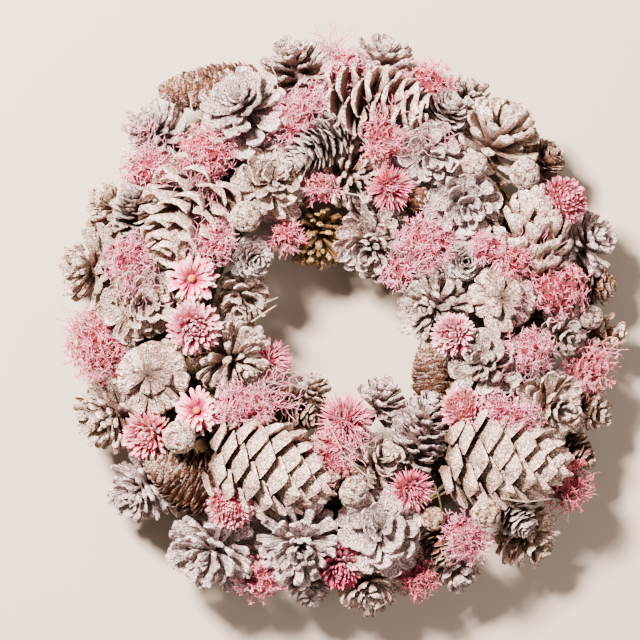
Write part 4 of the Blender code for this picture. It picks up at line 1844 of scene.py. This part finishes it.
TUFTS = (
    Tuft(
        "moss_top_low", ("moss_tuft_top",), Tone.MOSS_PALE, (24, 12, 12), Place(-28, 122, 68, 55, 5), 220,
    ),
    Tuft("moss_top_high", (), Tone.MOSS_PALE, (17, 13, 12), Place(0, 150, 58, 70, 40), 180),
    Tuft(
        "moss_top_right", ("moss_tuft_top_right",),
        Tone.MOSS_CORAL, (17, 15, 12), Place(50, 141, 52, 40, 30), 190,
    ),
    Tuft("moss_inner_top", (), Tone.MOSS_CORAL, (18, 12, 9), Place(22, 106, 76, 100, 5), 170),
    Tuft("moss_hole_top", (), Tone.MOSS_CORAL, (11, 10, 10), Place(-15, 80, 62, 0, 0), 110),
    Tuft(
        "moss_upper_left", ("moss_tuft_upper_left",),
        Tone.MOSS_CORAL, (20, 17, 13), Place(-82, 101, 66, 200, 10), 260,
    ),
    Tuft("moss_left_high", (), Tone.MOSS_PALE, (18, 14, 12), Place(-118, 89, 54, 190, 10), 190),
    Tuft("moss_left_inner", (), Tone.MOSS_PALE, (15, 12, 9), Place(-79, 45, 76, 70, 10), 150),
    Tuft("moss_hole_upper_left", (), Tone.MOSS_CORAL, (11, 9, 10), Place(-36, 50, 58, 0, 0), 110),
    Tuft(
        "moss_left", ("moss_tuft_left",), Tone.MOSS_PALE, (16, 14, 12), Place(-129, 36, 66, 120, 10), 180,
    ),
    Tuft(
        "moss_left_rim", ("moss_tuft_left_rim",),
        Tone.MOSS_CORAL, (22, 20, 17), Place(-148, -15, 46, 100, 0), 430,
    ),
    Tuft("moss_left_low", (), Tone.MOSS_PALE, (17, 13, 9), Place(-60, -51, 74, 0, 5), 190),
    Tuft(
        "moss_right_high", ("moss_tuft_right_high",),
        Tone.MOSS_PALE, (19, 17, 14), Place(49, 46, 64, 0, 0), 260,
    ),
    Tuft("moss_hole_upper_right", (), Tone.MOSS_PALE, (12, 10, 10), Place(33, 31, 55, -135, 20), 120),
    Tuft("moss_right_inner", (), Tone.MOSS_PALE, (12, 10, 9), Place(85, 41, 73, 0, 0), 120),
    Tuft("moss_right_red", (), Tone.MOSS_CORAL, (13, 11, 9), Place(103, 35, 72, 0, 0), 130),
    Tuft(
        "moss_right", ("moss_tuft_right",), Tone.MOSS_CORAL, (19, 17, 14), Place(127, 18, 64, 0, 10), 250,
    ),
    Tuft("moss_right_rim", (), Tone.MOSS_CORAL, (15, 14, 13), Place(146, -29, 48, -20, 10), 180),
    Tuft("moss_right_low", (), Tone.MOSS_PALE, (15, 12, 10), Place(110, -19, 66, 0, 0), 150),
    Tuft("moss_lower_right_long", (), Tone.MOSS_PALE, (18, 10, 8), Place(97, -57, 77, -15, 5), 160),
    Tuft(
        "moss_lower_right_rim", ("moss_tuft_lower_right",),
        Tone.MOSS_RED, (18, 15, 13), Place(130, -97, 48, -50, 20), 190,
    ),
    Tuft("moss_bottom_right", (), Tone.MOSS_PALE, (16, 13, 11), Place(72, -129, 62, -40, 0), 170),
    Tuft("moss_bottom_right_rim", (), Tone.MOSS_RED, (14, 13, 12), Place(42, -152, 48, -80, 10), 150),
    Tuft("moss_hole_bottom", (), Tone.MOSS_CORAL, (16, 12, 9), Place(-8, -81, 73, 105, 5), 160),
    Tuft("moss_bottom_left_rim", (), Tone.MOSS_CORAL, (16, 13, 12), Place(-52, -154, 46, 20, 0), 160),
)


@dataclass(frozen=True)
class Stems:
    """Loose straws and stems that lie over the cones.

    Attributes:
        name: The piece's name.
        tone: Their finish.
        radius: Their radius in millimetres.
        runs: The points that each of them runs through, in millimetres.
    """

    name: str
    tone: Tone
    radius: float
    runs: tuple[tuple[Triple, ...], ...]

    STEPS = 5
    SIDES = 6
    TAPER = 0.3
    PAINT = 0.7

    def build(self) -> None:
        """Draws every stem."""
        shape = bmesh.new()
        shape.verts.layers.float.new("along")
        for points in self.runs:
            line = self._smooth([Vector(point) * MM for point in points])
            radii = [self.radius * MM * (1 - self.TAPER * k / len(line)) for k in range(len(line))]
            Strand.draw(shape, line, radii, [self.PAINT] * len(line), sides=self.SIDES)
        hand_in(kept(shape, self.name), self.tone)

    def _smooth(self, points: list[Vector]) -> list[Vector]:
        """A smooth line through the points.

        Args:
            points: The points.

        Returns:
            The line's points.
        """
        ends = [points[0] * 2 - points[1], *points, points[-1] * 2 - points[-2]]
        line = []
        for before, start, end, after in zip(ends, ends[1:], ends[2:], ends[3:]):
            slope = end - before
            bend = before * 2 - start * 5 + end * 4 - after
            twist = start * 3 - before - end * 3 + after
            for k in range(self.STEPS):
                t = k / self.STEPS
                line.append(0.5 * (start * 2 + slope * t + bend * t * t + twist * t**3))
        return [*line, points[-1]]


STEMS = (
    Stems(
        "loose_straws", Tone.PALE_STRAW, 0.55,
        (
            ((-93, 136, 60), (-91, 124, 64), (-81, 117, 72)),
            ((-73, 113, 78), (-64, 102, 75)),
            ((-3, 75, 76), (7, 73, 76), (16, 72, 76)),
            ((-11, -60, 76), (0, -82, 79), (16, -97, 75)),
            ((-20, -70, 75), (-6, -80, 79), (8, -88, 76)),
            ((92, -107, 83), (106, -109, 80), (124, -107, 66)),
            ((129, -104, 58), (133, -112, 52), (134, -121, 44)),
            ((-58, 4, 68), (-50, 8, 69), (-40, 13, 64)),
            ((-56, -2, 66), (-47, 4, 68), (-41, 8, 66)),
        ),
    ),
    Stems(
        "twigs", Tone.BARK, 0.8,
        (
            ((152, -14, 44), (159, -11, 46), (167, -5, 45)),
            ((-33, 92, 70), (-30, 84, 74)),
        ),
    ),
)


@dataclass(frozen=True)
class Wisps:
    """Long curled strands that have come loose from the moss.

    Attributes:
        name: The piece's name.
        tone: Their finish.
        place: Where they start, and the way that they lean.
        spread: How far apart they start, in millimetres.
        length: Their length in millimetres.
        count: How many there are.
    """

    name: str
    tone: Tone
    place: Place
    spread: float
    length: float
    count: int

    STEPS = 12
    RADIUS, TAPER = 0.33, 0.4
    CURL = 0.55
    APART = 0.5
    PULL = 0.06
    REACH = (0.6, 1.1)
    ROOT_PAINT, TIP_PAINT = 0.35, 0.95

    def build(self, seed: int) -> None:
        """Draws every strand.

        Args:
            seed: The seed of their curls.
        """
        draw = random.Random(seed)
        shape = bmesh.new()
        shape.verts.layers.float.new("along")
        matrix = self.place.matrix
        lean = (matrix.to_3x3() @ Vector((0, 0, 1))).normalized()
        for _ in range(self.count):
            start = matrix.translation + any_way(draw) * self.spread * MM
            heading = (lean + any_way(draw) * self.APART).normalized()
            step = self.length * MM / self.STEPS * draw.uniform(*self.REACH)
            line = [start]
            for _ in range(self.STEPS):
                heading = (heading + any_way(draw) * self.CURL + lean * self.PULL).normalized()
                line.append(line[-1] + heading * step)
            shares = [k / self.STEPS for k in range(len(line))]
            radii = [self.RADIUS * MM * (1 - self.TAPER * share) for share in shares]
            paint = self.TIP_PAINT - self.ROOT_PAINT
            values = [self.ROOT_PAINT + paint * share for share in shares]
            Strand.draw(shape, line, radii, values)
        hand_in(kept(shape, self.name), self.tone)


WISPS = (
    Wisps("wisps_top", Tone.MOSS_PALE, Place(-8, 160, 56, 95, 4), 5, 24, 26),
    Wisps("wisps_top_left", Tone.MOSS_PALE, Place(-30, 122, 72, 60, 0), 10, 20, 44),
    Wisps("wisps_slatted_top", Tone.MOSS_CORAL, Place(22, 122, 73, 80, 0), 9, 16, 36),
    Wisps("wisps_upper_left", Tone.MOSS_PALE, Place(-84, 82, 74, 240, 0), 10, 20, 44),
    Wisps("wisps_left_rim_high", Tone.MOSS_PALE, Place(-117, 104, 50, 100, 0), 10, 18, 40),
    Wisps("wisps_maritime_left", Tone.MOSS_PALE, Place(-90, 58, 73, 250, 0), 9, 22, 40),
    Wisps("wisps_left", Tone.MOSS_PALE, Place(-122, 24, 73, 250, 0), 11, 18, 50),
    Wisps("wisps_left_rim", Tone.MOSS_CORAL, Place(-148, -12, 52, 150, 0), 14, 18, 50),
    Wisps("wisps_right_high", Tone.MOSS_PALE, Place(112, 44, 72, 60, 0), 10, 18, 34),
    Wisps("wisps_upper_right", Tone.MOSS_PALE, Place(52, 110, 74, -60, 0), 9, 16, 30),
    Wisps("wisps_underside_right", Tone.MOSS_PALE, Place(104, 8, 73, 200, 0), 8, 16, 30),
    Wisps("wisps_hole_right", Tone.MOSS_PALE, Place(44, 38, 68, 30, 0), 12, 18, 40),
    Wisps("wisps_right_rim", Tone.MOSS_CORAL, Place(146, -26, 52, 40, 0), 10, 20, 40),
    Wisps("wisps_right_low", Tone.MOSS_PALE, Place(108, -24, 72, 220, 0), 10, 16, 36),
    Wisps("wisps_lower_right", Tone.MOSS_RED, Place(132, -98, 50, -10, 0), 9, 20, 30),
    Wisps("wisps_bottom_right", Tone.MOSS_PALE, Place(76, -132, 68, 200, 0), 10, 18, 34),
    Wisps("wisps_hole_bottom", Tone.MOSS_PALE, Place(2, -66, 72, -60, 0), 9, 20, 40),
    Wisps("wisps_left_low", Tone.MOSS_PALE, Place(-46, -46, 73, 20, 0), 10, 20, 50),
    Wisps("wisps_inner_top", Tone.MOSS_CORAL, Place(22, 104, 76, 30, 0), 8, 18, 34),
)


class StrawRing:
    """The bundled straw that everything is fixed to, bound with twine."""

    RADIUS = 105.0
    ROLL = 22.5
    HEIGHT = 20.0
    LOWEST = 0.9
    SKIN = 1.2
    AROUND, ACROSS = 120, 24
    STRAWS = 420
    STRAW_LENGTH = 46.0
    STRAW_RADIUS = 1.1
    STRAW_POINTS = 5
    STRAW_REACH, STRAW_TWIST, STRAW_RISE = (0.6, 1.2), (-0.5, 0.5), (-0.4, 0.6)
    STRAW_PAINT, SKIN_PAINT = 0.5, 0.2
    SEED = 7
    TURNS = 40
    TWINE_RADIUS = 0.8
    TWINE_RISE = 0.6
    TWINE_STEPS = 14
    TWINE_PAINT = 0.6

    def build(self) -> None:
        """Builds the straw and the twine."""
        self._straw()
        self._twine()

    def _on_roll(self, round_ring: float, round_roll: float, radius: float) -> Vector:
        """A point of the roll, no lower than what the ring lies on.

        Args:
            round_ring: Angle round the ring.
            round_roll: Angle round the roll.
            radius: Distance from the roll's middle in millimetres.

        Returns:
            The point in metres.
        """
        out = self.RADIUS + radius * math.cos(round_roll)
        height = max(self.LOWEST, self.HEIGHT + radius * math.sin(round_roll))
        return Vector((out * math.cos(round_ring), out * math.sin(round_ring), height)) * MM

    def _straw(self) -> None:
        """The roll, with loose straws laid along it."""
        shape = bmesh.new()
        along = shape.verts.layers.float.new("along")
        shade = shape.verts.layers.float.new("shade")
        self._skin(shape)
        draw = random.Random(self.SEED)
        last = self.STRAW_POINTS - 1
        for _ in range(self.STRAWS):
            start, roll = draw.uniform(0, math.tau), draw.uniform(0, math.tau)
            sweep = self.STRAW_LENGTH * draw.uniform(*self.STRAW_REACH) / self.RADIUS
            twist, rise = draw.uniform(*self.STRAW_TWIST), draw.uniform(*self.STRAW_RISE)
            run = [
                self._on_roll(start + sweep * k / last, roll + twist * k / last, self.ROLL + rise)
                for k in range(self.STRAW_POINTS)
            ]
            before = len(shape.verts)
            radii = [self.STRAW_RADIUS * MM] * self.STRAW_POINTS
            Strand.draw(shape, run, radii, [self.STRAW_PAINT] * self.STRAW_POINTS)
            shape.verts.ensure_lookup_table()
            tint = draw.random()
            for point in shape.verts[before:]:
                point[shade] = tint
        for point in shape.verts:
            point[along] = max(point[along], self.SKIN_PAINT)
        bmesh.ops.recalc_face_normals(shape, faces=shape.faces[:])
        hand_in(kept(shape, "straw_ring_bundle"), Tone.STRAW, "straw_ring")

    def _skin(self, shape: bmesh.types.BMesh) -> None:
        """Adds the closed roll that the straws lie on.

        Args:
            shape: The mesh.
        """
        grid = [
            [
                shape.verts.new(
                    self._on_roll(
                        math.tau * i / self.AROUND, math.tau * j / self.ACROSS, self.ROLL - self.SKIN
                    )
                )
                for j in range(self.ACROSS)
            ]
            for i in range(self.AROUND)
        ]
        for i in range(self.AROUND):
            for j in range(self.ACROSS):
                after, over = (i + 1) % self.AROUND, (j + 1) % self.ACROSS
                shape.faces.new((grid[i][j], grid[after][j], grid[after][over], grid[i][over]))

    def _twine(self) -> None:
        """The twine, wound round the roll."""
        shape = bmesh.new()
        shape.verts.layers.float.new("along")
        steps = self.TURNS * self.TWINE_STEPS
        radius = self.ROLL + self.TWINE_RADIUS + self.TWINE_RISE
        run = [
            self._on_roll(math.tau * k / steps, math.tau * k / self.TWINE_STEPS, radius)
            for k in range(steps + 1)
        ]
        Strand.draw(shape, run, [self.TWINE_RADIUS * MM] * len(run), [self.TWINE_PAINT] * len(run))
        bmesh.ops.recalc_face_normals(shape, faces=shape.faces[:])
        hand_in(kept(shape, "binding_twine"), Tone.TWINE)


class Studio:
    """The floor, the lights and the camera."""

    TARGET = Vector((-0.015, 0.0, 0.055))
    DISTANCE = 1.8
    ELEVATION = math.radians(86)
    SEEN = 0.384
    SENSOR = 36.0

    FLOOR_SIZE = 3.0
    FLOOR_COLOUR = (0.40, 0.345, 0.28)
    FLOOR_ROUGHNESS = 0.9
    KEY_AT, KEY_POWER, KEY_SIZE = Vector((-0.6, 0.62, 1.35)), 240.0, 0.26
    KEY_COLOUR = (1.0, 0.82, 0.745)
    FILL_AT, FILL_POWER, FILL_SIZE = Vector((0.9, -0.5, 0.9)), 13.0, 0.9
    FILL_COLOUR = (1.0, 0.85, 0.78)
    WORLD_COLOUR = (1.0, 0.84, 0.78)
    WORLD_STRENGTH = 0.3

    def build(self) -> None:
        """Sets up the whole studio."""
        self._floor()
        self._light("key_light", self.KEY_AT, self.KEY_POWER, self.KEY_SIZE, self.KEY_COLOUR)
        self._light("fill_light", self.FILL_AT, self.FILL_POWER, self.FILL_SIZE, self.FILL_COLOUR)
        self._world()
        self._camera()

    def _floor(self) -> None:
        """The plain pale floor."""
        shape = bmesh.new()
        bmesh.ops.create_grid(shape, x_segments=1, y_segments=1, size=self.FLOOR_SIZE)
        made = bpy.data.meshes.new("floor")
        shape.to_mesh(made)
        shape.free()
        finish = bpy.data.materials.new("pale_floor")
        finish.use_nodes = True
        shader = finish.node_tree.nodes["Principled BSDF"]
        shader.inputs["Base Color"].default_value = rgba(self.FLOOR_COLOUR)
        shader.inputs["Roughness"].default_value = self.FLOOR_ROUGHNESS
        made.materials.append(finish)
        floor = bpy.data.objects.new("floor", made)
        bpy.context.scene.collection.objects.link(floor)

    def _light(self, name: str, where: Vector, power: float, size: float, colour: Colour) -> None:
        """An area light that faces the wreath.

        Args:
            name: The light's name.
            where: Its place in metres.
            power: Its power in watts.
            size: Its width in metres.
            colour: Its colour.
        """
        lamp = bpy.data.lights.new(name, "AREA")
        lamp.energy = power
        lamp.size = size
        lamp.color = colour
        light = bpy.data.objects.new(name, lamp)
        light.location = where
        light.rotation_euler = (self.TARGET - where).to_track_quat("-Z", "Y").to_euler()
        bpy.context.scene.collection.objects.link(light)

    def _world(self) -> None:
        """A weak even light from all sides."""
        world = bpy.data.worlds.new("studio")
        world.use_nodes = True
        background = world.node_tree.nodes["Background"]
        background.inputs["Color"].default_value = rgba(self.WORLD_COLOUR)
        background.inputs["Strength"].default_value = self.WORLD_STRENGTH
        bpy.context.scene.world = world

    def _camera(self) -> None:
        """The camera, a little below straight over the wreath, as in the photograph."""
        lens = bpy.data.cameras.new("camera")
        lens.sensor_width = self.SENSOR
        lens.lens = self.SENSOR * self.DISTANCE / self.SEEN
        camera = bpy.data.objects.new("camera", lens)
        away = Vector((0.0, -math.cos(self.ELEVATION), math.sin(self.ELEVATION)))
        camera.location = self.TARGET + away * self.DISTANCE
        camera.rotation_euler = (-away).to_track_quat("-Z", "Y").to_euler()
        bpy.context.scene.collection.objects.link(camera)
        bpy.context.scene.camera = camera


# The seed of the first piece of each table. The others count on from it.
FIRST_SEEDS = ((1, CONES + FLOWERS), (200, GLOBES), (300, TUFTS), (400, WISPS))


def main() -> None:
    """Builds the studio and every piece of the wreath."""
    logging.basicConfig(level=logging.INFO, format="%(name)s %(message)s")
    Studio().build()
    StrawRing().build()
    for first_seed, pieces in FIRST_SEEDS:
        for seed, piece in enumerate(pieces, start=first_seed):
            piece.build(seed)
    for stems in STEMS:
        stems.build()


if __name__ == "__main__":
    main()
